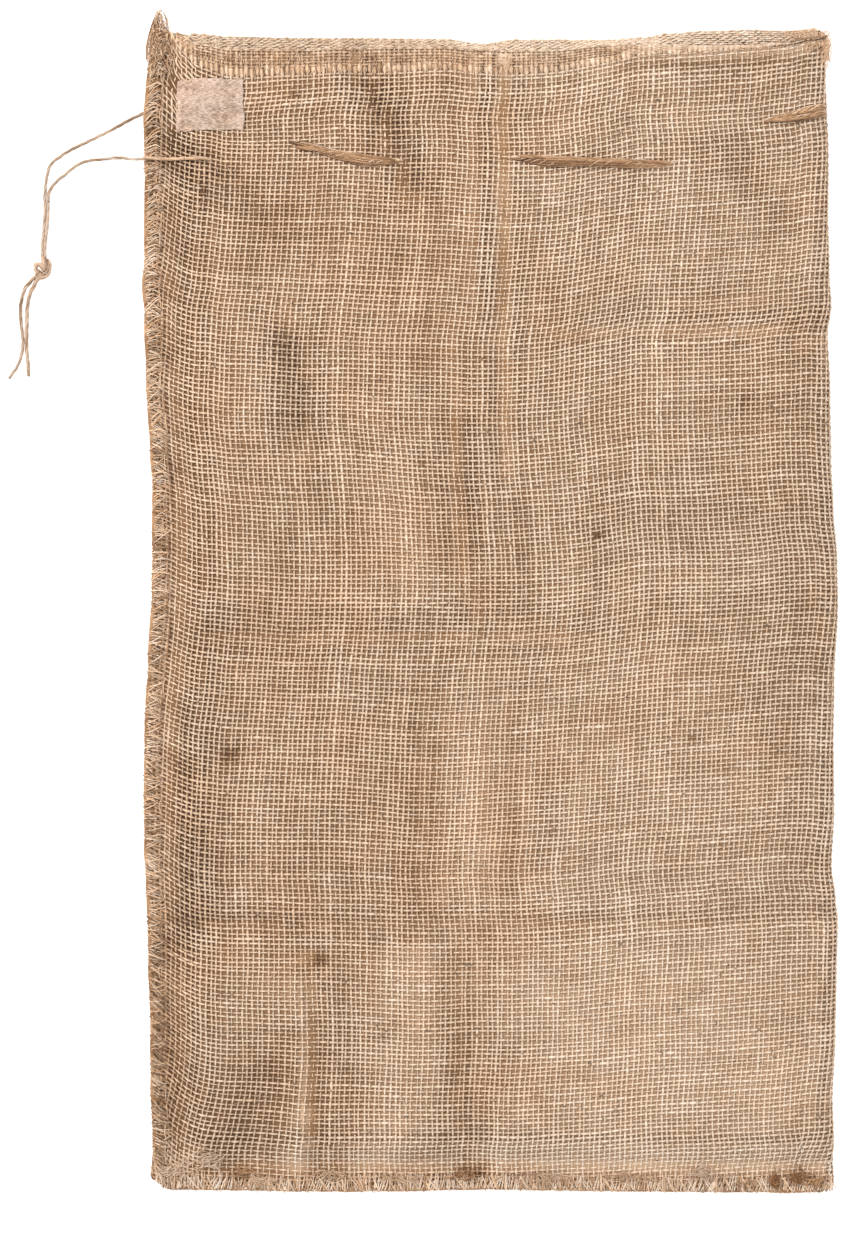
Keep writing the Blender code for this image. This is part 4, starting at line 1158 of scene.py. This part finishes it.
# The run: over and under the front layer, round the fold, and back through the back layer.
def runRoute():
    form = runForm
    lead = form["twine"] / 2 + form["gap"]
    cloth, ground, puff = sackForm["cloth"], form["ground"], sackForm["puff"]
    left, right = float(sideEdges(200)[0]), float(sideEdges(214)[1])
    front = stitchLine(
        form["front"],
        lambda x, y: (x, y, float(skinHeight(x, y)) + lead),
        lambda x, y: (x, y, float(skinHeight(x, y)) - cloth - lead),
    )
    back = stitchLine(
        sackForm["backStitches"],
        lambda x, y: (x, y, ground),
        lambda x, y: (x, y, float(backHeight(x, y)) + cloth + lead),
    )
    outer, rise = right + lead, sackForm["seamThick"] + lead
    begin = [(left - 0.7, 193.8, rise), (left + 1.6, 193.8, rise + 0.1)]
    turn = [
        (right - 4.4, 212.9, puff + lead - 0.8), (outer - 3.4, 213.5, puff - 3.2),
        (outer - 2.8, 213.8, puff / 2 - 0.6), (outer - 3.6, 213.9, 2.0), (right - 4.4, 213.9, ground),
    ]
    return smoothRoute([*begin, *front, *turn, *back, (left - 0.6, 214.1, ground)], form["step"]) * mm


# The run in three plies, drawn thinner, paler and less warm where it crosses the sewn side.
def makeRun():
    route = runRoute()
    overSeam, byFold = ease((-118 - route[:, 0] / mm) / 6), ease((route[:, 0] / mm - 116) / 6)
    return layTwine(
        "twineRun", route, freeEnds["diameter"], (0.0, 0.3, 1.0), 1.12 - 0.1 * overSeam,
        0.40 + 0.16 * overSeam + 0.10 * byFold, 1.0 - 0.35 * overSeam, seed=15,
    )


twineRun = makeRun()

# Where the twine runs over the front it is slack and spreads: the upper and the lower edge of
# each stitch, in millimetres, and how many strands lie between them. profile is how high they
# stand at five even places along it, and dip is how far both ends go down into the cloth.
stitchForm = dict(
    radius=0.24, lowest=0.15, fuzz=2, twist=2.0, slant=7.0, stray=(1.6, 0.12), paleShare=0.26,
    profile=(0, 0.85, 1, 0.85, 0), dip=(-0.5, 0, 0, 0, -0.5),
    stitches=[
        dict(
            upper=[(-86.6, 200.6), (-79.3, 199.5), (-67.2, 196.5), (-53.3, 194), (-39.2, 192.3)],
            lower=[(-86.6, 199.5), (-79.3, 197), (-67.2, 192.6), (-53.3, 189.5), (-39.2, 191.3)],
            count=19, brown=0.43, paler=0.36, arch=1.6,
        ),
        dict(
            upper=[(8.6, 193.3), (24.4, 193.5), (44.6, 192.9), (64.5, 192.1), (80, 190.8)],
            lower=[(8.6, 192.4), (24.4, 189.4), (44.6, 189), (64.5, 188.5), (78.8, 189.6)],
            count=20, brown=0.37, paler=0.20, arch=1.6,
        ),
        dict(
            upper=[(119.6, 209.6), (126, 211.5), (132.2, 213.5), (138, 215.1), (144.8, 216.6)],
            lower=[(119.6, 209.1), (126, 210.1), (132.2, 211.4), (138, 212.4), (144.8, 214)],
            count=11, brown=0.54, paler=0.04, arch=1.0,
        ),
        dict(
            upper=[(119.6, 209.3), (126, 210.2), (132.2, 211.1), (138, 212.2), (145, 213.8)],
            lower=[(119.6, 208.7), (126, 208.6), (132.2, 209), (138, 210), (145, 211.8)],
            count=11, brown=0.44, paler=0.0, arch=1.6,
        ),
    ],
)


# The slack strands: each keeps its own share of the way from the upper edge to the lower, and
# rises over the twine by the sine of half a turn times that share. The upper ones are pale and
# the lower ones brown.
def makeSlack():
    form, dice, lots = stitchForm, np.random.default_rng(131), []
    stations = np.linspace(0, 1, 5)

    # Places at a share up the stitch and a share of the way from its upper edge to its lower.
    def spread(stitch, up, own, stray, lift):
        upper, lower = (
            np.stack([np.interp(up, stations, line) for line in np.array(stitch[k]).T])
            for k in ("upper", "lower")
        )
        spot = upper + (lower - upper) * own + stray
        rise = form["lowest"] + stitch["arch"] * np.sin(np.clip(own, 0, 1) * math.pi)
        height = skinHeight(*spot) + rise * np.interp(up, stations, form["profile"]) + lift
        return np.stack([*spot, height], axis=-1)

    for number, stitch in enumerate(form["stitches"]):
        count, brown = stitch["count"], stitch["brown"]
        share = np.linspace(0.04, 0.96, count)[:, None] + dice.uniform(-0.09, 0.09, (count, 5))
        stray = np.stack([dice.uniform(-size, size, (count, 5)) for size in form["stray"]])
        pale = share[:, 2] < form["paleShare"]
        tone = np.where(pale, 0.68, brown) + dice.uniform(-0.16, 0.16, count)
        lots.append(makeStrands(
            spread(stitch, stations + 0 * share, share, stray, form["dip"]), 6,
            dice.uniform(0.7, 1.3, count) * form["radius"], 4, tone,
            np.where(pale, 0.45, 1.0), 132 + number, paler=stitch["paler"],
        ))
        # Twisted strands, which cross the stitch on a slant from its lower edge to its upper, and
        # short loose hairs, which lie over it each in its own direction.
        size = np.linalg.norm(np.subtract(stitch["upper"][-1], stitch["upper"][0]))
        start = np.arange(0.0, 0.97 - form["slant"] / size, form["twist"] / size)
        twists, hairs = len(start), count * form["fuzz"]
        start = start + dice.uniform(-0.4, 0.4, twists) / size
        up = np.clip(start[:, None] + form["slant"] / size * np.linspace(0, 1, 4), 0.01, 0.99)
        own = np.linspace(0.98, 0.02, 4) + dice.uniform(-0.06, 0.06, (twists, 4))
        middle = dice.uniform(0.04, 0.96, (hairs, 1)), dice.uniform(0.0, 1.0, (hairs, 1))
        turn, reach = dice.uniform(-0.9, 0.9, (hairs, 1)), dice.uniform(0.4, 1.2, (hairs, 1))
        along = np.array([-1.0, 0.0, 1.0]) * reach
        hairUp = np.clip(middle[0] + along * np.cos(turn) / size, 0, 1)
        hairOwn = middle[1] + along * np.sin(turn) / 3.4
        for part, (up, own) in enumerate(((up, own), (hairUp, hairOwn))):
            many = len(up)
            # Hairs are paler towards the upper edge; twisted strands go pale and dark by turns.
            # The first draw is made for both, so that all the later ones stay as they are.
            tone = brown + 0.22 - 0.25 * own[:, 1] + dice.uniform(-0.16, 0.2, many)
            if part == 0:
                twisted = np.where(np.arange(many) % 2, 0.24, -0.10)
                tone = brown + twisted + dice.uniform(-0.08, 0.08, many)
            tone = tone + stitch["paler"] * (up.mean(axis=1) - 0.5)
            lots.append(makeStrands(
                spread(stitch, up, own, 0.0, (0.12, 0.30)[part]), 2 - part,
                dice.uniform(0.8, 1.2, many) * (0.27, 0.13)[part], 4 - part, tone,
                dice.uniform(0.6, 1.0, many), 142 + number + 4 * part,
            ))
    return joinStrands("twineSlack", lots)


slack = makeSlack()

labelForm = dict(left=-137.0, right=-107.6, low=204.9, high=227.6, columns=46, rows=36, wander=0.55)


# The label: a small bare patch of felted cloth laid on the front, as a closed thin sheet. Its
# middle is the front's height plus a little, with a faint weave, and it thins and sinks
# towards its edges, which wander a little.
def makeLabel():
    form = labelForm
    u, v = np.meshgrid(np.linspace(0, 1, form["columns"]), np.linspace(0, 1, form["rows"]), indexing="ij")
    wanderX = form["wander"] * softField(v * 13, u * 3, 101) * (2 * np.abs(u - 0.5)) ** 6
    wanderY = form["wander"] * softField(u * 15, v * 3, 102) * (2 * np.abs(v - 0.5)) ** 6
    x = form["left"] + (form["right"] - form["left"]) * u + wanderX
    y = form["low"] + (form["high"] - form["low"]) * v + wanderY
    base = skinHeight(x, y)
    threads = np.sin(x * 2.79) * np.sin(y * 3.06)
    edge = ease(np.minimum(np.minimum(u, 1 - u) * 12, np.minimum(v, 1 - v) * 9))
    relief = 0.10 * threads + 0.16 * softField(u * 22, v * 18, 103)
    top = base + 0.12 + 0.40 * edge + relief * (0.5 + 0.5 * edge)
    skins = np.stack([np.stack([x, y, top], axis=-1), np.stack([x, y, base + 0.02 * edge], axis=-1)])
    number, four = netFaces(u.shape)
    rim = np.concatenate([number[:-1, 0], number[-1, :-1], number[:0:-1, -1], number[0, :0:-1]])
    after = np.roll(rim, -1)
    band = np.stack([rim + u.size, after + u.size, after, rim], axis=-1)
    quads = np.concatenate([four, four[:, ::-1] + u.size, band])
    strip = ease((u - 0.88) / 0.04)
    tone = 0.34 + 0.07 * softField(u * 6, v * 5, 104) + 0.12 * softField(u * 20, v * 26, 105)
    # Paler towards the edges: painted light against the shade along the label's raised rim.
    tone = tone + 0.10 * strip + 0.06 * (1 - edge) + 0.03 * threads
    around = np.stack([u * 0.496 + 0.002, v * 0.992 + 0.004], axis=-1).reshape(-1, 2)
    around = np.concatenate([around, around + (0.5, 0.0)])
    warm = np.clip(0.10 + 0.35 * softField(u * 5, v * 4, 106), 0, 1)
    marks = dict(tone=np.stack([tone, tone]), warm=np.stack([warm, warm]))
    return putMesh("labelPatch", skins.reshape(-1, 3) * mm, quads, noTriangles, marks, around[quads.ravel()])


label = makeLabel()

feltForm = dict(
    heading=950, rise=(0.8, 2.6), liningRows=10, liningPitch=2.25, liningRise=0.62,
    linings=(
        dict(apart=1.0, long=1.0, lift=0.22, thick=1.0, tone=(0.68, 0.94)),
        dict(apart=1.6, long=1.5, lift=0.0, thick=2.0, tone=(0.57, 0.75)),
    ),
    # Across and up: where a clump's strands are held back, and the share that still stands out.
    limits=((148.4, 0.2), (249, 0.3)),
    # Clumps of matted fibre: middle, half sizes, how many, lean in degrees, tone and warmth.
    clumps=[
        (142, 245, 6.5, 5, 190, 70, 0.68, 0.50), (146, 240, 1.8, 7, 130, 80, 0.62, 0.50),
        (133, 247, 8, 2.6, 70, 8, 0.60, 0.45), (124, -253.5, 1.8, 2.8, 46, -55, 0.32, 1),
        (112, -255, 5, 2, 30, -20, 0.50, 0.5), (134, -252, 4, 3.4, 60, -30, 0.34, 1),
        (142, -254, 4, 2.4, 40, 25, 0.46, 0.7), (-124, -244.5, 8, 3.6, 80, 20, 0.76, 0.15),
        (-138, -249, 6, 3.5, 70, 10, 0.70, 0.25), (-70, -251, 10, 2.6, 50, 0, 0.58, 0.3),
        (-100, -254, 9, 2.4, 60, 12, 0.62, 0.25), (-108, -250, 5, 2, 30, -20, 0.46, 0.7),
        (-40, -253, 9, 2.6, 50, -25, 0.60, 0.3), (-12, -251, 5, 2.6, 40, 15, 0.36, 0.8),
        (25, -253, 12, 2.6, 60, -35, 0.60, 0.3), (60, -252, 12, 3, 60, -30, 0.58, 0.35),
        (92, -250, 7, 3, 60, -20, 0.64, 0.15),
    ],
)


# Matted fibre that lies on the cloth: short strands along the long yarns over the heading's
# floats, and clumps of them by the foot, each strand bowed a little off the cloth.
def makeFelt():
    form, dice, c = feltForm, np.random.default_rng(121), crossings
    foot, mouth = sackForm["footLine"], sackForm["mouthLine"]
    count = form["heading"]
    first = int(np.argmax(c["share"][0] > 0)) - 1
    s = dice.uniform(14, 2 * halfSheet - 14, count)
    s = np.where(dice.uniform(0, 1, count) < 0.75, s / 2 + 6, s)
    s = np.where((s > 185) & (s < halfSheet) & (dice.uniform(0, 1, count) < 0.5), s - 160, s)
    low = np.interp(s, c["s"][:, first], c["t"][:, first]) - 0.9
    start = low + (mouth - 1.4 - low) * dice.uniform(0, 1, count) ** 1.3
    flat = dice.uniform(0, 1, count) < ease((start - 238) / 4) * 0.7
    turn = np.radians(dice.normal(0, 13, count)) + np.where(flat, 0.0, math.pi / 2)
    size = dice.uniform(*form["rise"], count)[:, None] * np.array([-0.2, 0.5, 1.2])
    t = np.minimum(start[:, None] + size * np.sin(turn)[:, None], mouth - 0.4)
    lots = [makeStrands(
        offCloth(s[:, None] + size * np.cos(turn)[:, None], t, np.array([0.38, 0.72, 0.38])), 1,
        dice.uniform(0.13, 0.25, count), 3, dice.uniform(0.40, 0.74, count),
        dice.uniform(0.1, 0.55, count), 122,
    )]
    # The back layer's heading, where it shows inside the mouth: rows of pale dashes with longer
    # strands between them, which climb from the back's edge to a share of the way up to the
    # underside of the front's edge.
    for row in range(form["liningRows"]):
        share = row / (form["liningRows"] - 1)
        for lining in form["linings"]:
            pitch = form["liningPitch"] * lining["apart"]
            x = np.arange(-129.0 + (row % 2) * pitch / 2, 143.0, pitch)
            x = x + dice.uniform(-0.3, 0.3, len(x))
            spread = np.array([-0.38, 0.0, 0.38]) * pitch * lining["long"]
            x = x[:, None] + spread * dice.uniform(0.7, 1.15, len(x))[:, None]
            behind, before = endEdge("back", x) + 0.7, endEdge("front", x) - 1.2
            y = behind + (before - behind) * share + dice.uniform(-0.16, 0.16, x.shape)
            low = backHeight(x, y) + sackForm["cloth"] + 0.3
            high = frontHeight(x, mouth, x, y) - sackForm["cloth"]
            z = low + (high - low) * share * form["liningRise"] + lining["lift"]
            z = z + np.array([-0.15, 0.15, -0.15])
            count = len(x)
            dim = 0.12 * ease((20 - x[:, 1]) / 60)
            lots.append(makeStrands(
                np.stack([x, y, z], axis=-1), 1, dice.uniform(0.30, 0.46, count) * lining["thick"], 3,
                dice.uniform(*lining["tone"], count) - dim, dice.uniform(0.0, 0.2, count), 151 + row,
            ))
    for x, y, wideX, wideY, count, turn, tone, warm in form["clumps"]:
        angle = np.radians(turn + dice.normal(0, 35, count))
        size = dice.uniform(1.5, 3.4, count)
        middle = np.stack([x + dice.normal(0, wideX / 2, count), y + dice.normal(0, wideY / 2, count)])
        spot = acrossMiddle(middle, angle, size * (0.6 if y > 0 else 1.0))
        # None stands out past the fold or the mouth by more than a hair.
        for way, (edge, past) in zip(spot, form["limits"]):
            way[:] = np.where(way > edge, edge + (way - edge) * past, way)
        height = skinHeight(*spot) * (1 - 0.5 * ease((spot[1] - 241) / 8))
        height = height + [0.0, 0.5, 0.1]
        height = height + dice.uniform(-0.1, 0.4, count)[:, None]
        lots.append(makeStrands(
            np.stack([spot[0], np.maximum(spot[1], foot - 0.6), height], axis=-1), 1,
            dice.uniform(0.12, 0.26, count), 3, tone + dice.uniform(-0.12, 0.12, count),
            np.clip(warm + dice.uniform(-0.2, 0.2, count), 0, 1), 123,
        ))
    return joinStrands("mattedFelt", lots)


felt = makeFelt()

fibreForm = dict(loose=900, byEdge=230, length=(2.0, 6.0), radius=0.075)


# Loose fibres: short bent hairs, each from a random place on the cloth, or by one of its edges,
# off in its own direction and a little up, with three rings that thin to the tip.
def makeFibres():
    form, dice = fibreForm, np.random.default_rng(111)
    loose, byEdge = form["loose"], form["byEdge"]
    s = dice.uniform(3, 2 * halfSheet - 3, loose)
    s = np.where(dice.uniform(0, 1, loose) < 0.72, s / 2, s)
    t = dice.uniform(sackForm["footLine"] + 3, sackForm["mouthLine"] - 2, loose)
    hairs = [(offCloth(s, t, 0.5), dice.uniform(0, 2 * math.pi, loose))]
    for foot, low, high, turn in ((False, -254, 244, math.pi), (True, -144, 146, -math.pi / 2)):
        along = dice.uniform(low, high, byEdge)
        start = seamPlace(foot, along, dice.uniform(-1, 3, byEdge), 0.3)
        hairs.append((start, dice.normal(turn, 0.9, byEdge)))
    start = offCloth(dice.uniform(16, 2 * halfSheet - 16, byEdge), sackForm["mouthLine"] - 0.6, 0.2)
    hairs.append((start, dice.normal(math.pi / 2, 0.9, byEdge)))
    root, angle = (np.concatenate(part) for part in zip(*hairs))
    count = len(root)
    aim = np.stack([np.cos(angle), np.sin(angle), np.zeros(count)], axis=1)
    size = dice.uniform(*form["length"], count)[:, None]
    size[loose:] *= 0.5
    bend = dice.normal(0, 0.35, (count, 1)) * np.stack([-aim[:, 1], aim[:, 0], aim[:, 2]], axis=1)
    lift = np.array([0, 0, 1.0]) * dice.uniform(0.02, 0.22, (count, 1))
    lift[loose:] *= dice.choice([-1.0, 1.0], (count - loose, 1))
    middle = root + (aim * 0.5 + bend * 0.5 + lift) * size
    tip = root + (aim + bend * 1.6 + lift * 1.2) * size
    line = np.stack([root, middle, tip], axis=1)
    line[:, :, 2] = np.maximum(line[:, :, 2], 0.12)
    thick = form["radius"] * dice.uniform(0.7, 1.4, (count, 1)) * np.array([1.0, 0.9, 0.45])
    points, quads, triangles, bakeMap = roundTubes(line, *routeSides(line, (0.02, 0.03, 1.0)), thick, 3)
    each = len(points) // count
    marks = dict(tone=np.repeat(dice.uniform(0.5, 0.95, count), each))
    marks["warm"] = np.repeat(dice.uniform(0.0, 0.6, count), each)
    return putMesh("looseFibres", points * mm, quads, triangles, marks, bakeMap)


fibres = makeFibres()
print("seams, run, label, felt and fibres made")


# Sets a node's inputs: a socket is linked to it, and anything else is its fixed value.
def feed(tree, node, inputs):
    for key, value in inputs.items():
        if isinstance(value, bpy.types.NodeSocket):
            tree.links.new(value, node.inputs[key])
        else:
            node.inputs[key].default_value = value


# Jute: a ramp from deep brown to pale straw, read at the yarn's own tone plus fine and middling
# noise, mixed towards an orange brown by its warmth, with dark flecks of bark. Where streak is
# given, the fine noise is drawn out along the yarns: it counts fibres across and along their map.
def juteMaterial(name, ramp, orange, fibre, fleck, relief, streak=None, grain=0.30):
    material = bpy.data.materials.new(name)
    material.use_nodes = True
    tree = material.node_tree
    shader = tree.nodes["Principled BSDF"]

    def add(kind, inputs, out=0, **settings):
        made = tree.nodes.new("ShaderNode" + kind)
        for key, value in settings.items():
            setattr(made, key, value)
        feed(tree, made, inputs)
        return made.outputs[out]

    at = add("TexCoord", {}, "Object")
    tone = add("Attribute", {}, "Fac", attribute_name="tone")
    warm = add("Attribute", {}, "Fac", attribute_name="warm")
    drawn, scale = at, fibre
    if streak:
        own = add("UVMap", {}, "UV", uv_map="OFBake")
        drawn, scale = add("VectorMath", {0: own, 1: (*streak, 1.0)}, operation="MULTIPLY"), 1.0
    fine = add("TexNoise", dict(Vector=drawn, Scale=scale, Detail=3.0, Roughness=0.7), "Fac")
    middling = add("TexNoise", dict(Vector=at, Scale=fibre / 7, Detail=2.0), "Fac")
    blend = add("Math", {0: fine, 1: grain, 2: tone}, operation="MULTIPLY_ADD")
    blend = add("Math", {0: middling, 1: 0.16, 2: blend}, operation="MULTIPLY_ADD")
    blend = add("Math", {0: blend, 1: grain / 2 + 0.08}, operation="SUBTRACT")
    colour = add("ValToRGB", dict(Fac=blend), "Color")
    stops = colour.node.color_ramp.elements
    while len(stops) < len(ramp):
        stops.new(0.5)
    for stop, position, shade in zip(stops, ramps["places"], ramp):
        stop.position = position
        stop.color = (*shade, 1)
    warmth = add(
        "Mix", {0: warm, 6: colour, 7: (*orange, 1)}, 2, data_type="RGBA", blend_type="MULTIPLY",
    )
    specks = add("TexNoise", dict(Vector=at, Scale=fleck, Detail=1.0), "Fac")
    limits = {"Value": specks, "From Min": 0.70, "From Max": 0.76, "To Min": 0.0, "To Max": 0.7}
    mask = add("MapRange", limits)
    dark = add("Mix", {0: mask, 6: warmth, 7: (*ramps["bark"], 1)}, 2, data_type="RGBA")
    feed(tree, shader, {"Base Color": dark})
    if relief:
        bump = add("Bump", dict(Height=fine, Strength=0.5, Distance=relief))
        feed(tree, shader, {"Normal": bump})
    feed(tree, shader, {
        "Roughness": 0.88, "Specular IOR Level": 0.2, "Sheen Weight": 0.1, "Sheen Roughness": 0.6,
    })
    return material


# Colours from deepest to palest, at these places along the ramp, what warm jute is mixed
# towards, and the flecks of bark.
ramps = dict(
    places=(0.0, 0.30, 0.55, 0.80, 1.0),
    jute=(
        (0.06, 0.028, 0.010), (0.26, 0.150, 0.075), (0.62, 0.45, 0.31), (0.84, 0.68, 0.53),
        (0.95, 0.83, 0.71),
    ),
    label=(
        (0.10, 0.06, 0.035), (0.40, 0.28, 0.21), (0.66, 0.50, 0.41), (0.80, 0.67, 0.59), (0.90, 0.83, 0.77),
    ),
    twine=(
        (0.08, 0.042, 0.020), (0.27, 0.180, 0.120), (0.57, 0.445, 0.35), (0.80, 0.67, 0.56),
        (0.93, 0.84, 0.75),
    ),
    orange=(1.0, 0.72, 0.46), bark=(0.09, 0.045, 0.02),
)
sackJute = juteMaterial("sackJute", ramps["jute"], ramps["orange"], 900.0, 420.0, 0.00005, (1100.0, 60.0))
napShadeJute, seamJute = (
    juteMaterial(name, ramps["jute"], ramps["orange"], 2600.0, 700.0, 0.0) for name in ("napShadeJute", "seamJute")
)
twineJute = juteMaterial("twineJute", ramps["twine"], (0.94, 0.72, 0.50), 2200.0, 500.0, 0.00010)
labelCloth = juteMaterial(
    "labelCloth", ramps["label"], (0.95, 0.78, 0.62), 1600.0, 1100.0, 0.0, (34.0, 80.0), 1.7,
)


# Gives a piece its material and its body.
def dress(piece, material):
    piece.data.materials.append(material)
    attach(piece, "root")


for piece in sack:
    dress(piece, sackJute)
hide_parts("sack_cloth")
dress(napAndShade, napShadeJute)
for piece in (*seams, felt, fibres):
    dress(piece, seamJute)
dress(label, labelCloth)
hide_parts("label_patch")
for piece in (twineRun, slack, upperLeg, lowerLeg, leftTail, rightTail, twineKnot):
    dress(piece, twineJute)
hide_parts("drawstring_run")
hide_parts("drawstring_upper_leg")
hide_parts("drawstring_lower_leg")
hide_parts("drawstring_left_tail")
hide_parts("drawstring_right_tail")
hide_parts("drawstring_knot")


studio = dict(
    floorHalf=3, floor=(0.90, 0.90, 0.90), glow=0.60, world=0.75,
    key=34.0, keyAt=(-1.1, 1.0, 1.25), keySize=1.2,
    fill=6.0, fillAt=(1.2, -0.9, 1.6), fillSize=1.6,
)


# A pale floor that glows a little, a white sky, and two lamps that face the origin.
def makeStudio():
    mesh = bpy.data.meshes.new("floor")
    half = studio["floorHalf"]
    around = [(-half, -half, 0), (half, -half, 0), (half, half, 0), (-half, half, 0)]
    mesh.from_pydata(around, [], [(0, 1, 2, 3)])
    floor = putThing("floor", mesh)
    material = bpy.data.materials.new("floor")
    material.use_nodes = True
    feed(material.node_tree, material.node_tree.nodes["Principled BSDF"], {
        "Base Color": (*studio["floor"], 1), "Roughness": 0.9, "Emission Color": (1, 1, 1, 1),
        "Emission Strength": studio["glow"],
    })
    mesh.materials.append(material)
    world = bpy.data.worlds.new("studio")
    world.use_nodes = True
    sky = world.node_tree.nodes["Background"]
    feed(world.node_tree, sky, {"Color": (1, 1, 1, 1), "Strength": studio["world"]})
    bpy.context.scene.world = world
    for name in ("key", "fill"):
        data = bpy.data.lights.new(name, "AREA")
        data.energy, data.size = studio[name], studio[name + "Size"]
        lamp = putThing(name, data)
        lamp.location = studio[name + "At"]
        lamp.rotation_euler = (-Vector(studio[name + "At"])).to_track_quat("-Z", "Y").to_euler()
    bpy.context.scene.view_settings.view_transform = "Standard"


makeStudio()
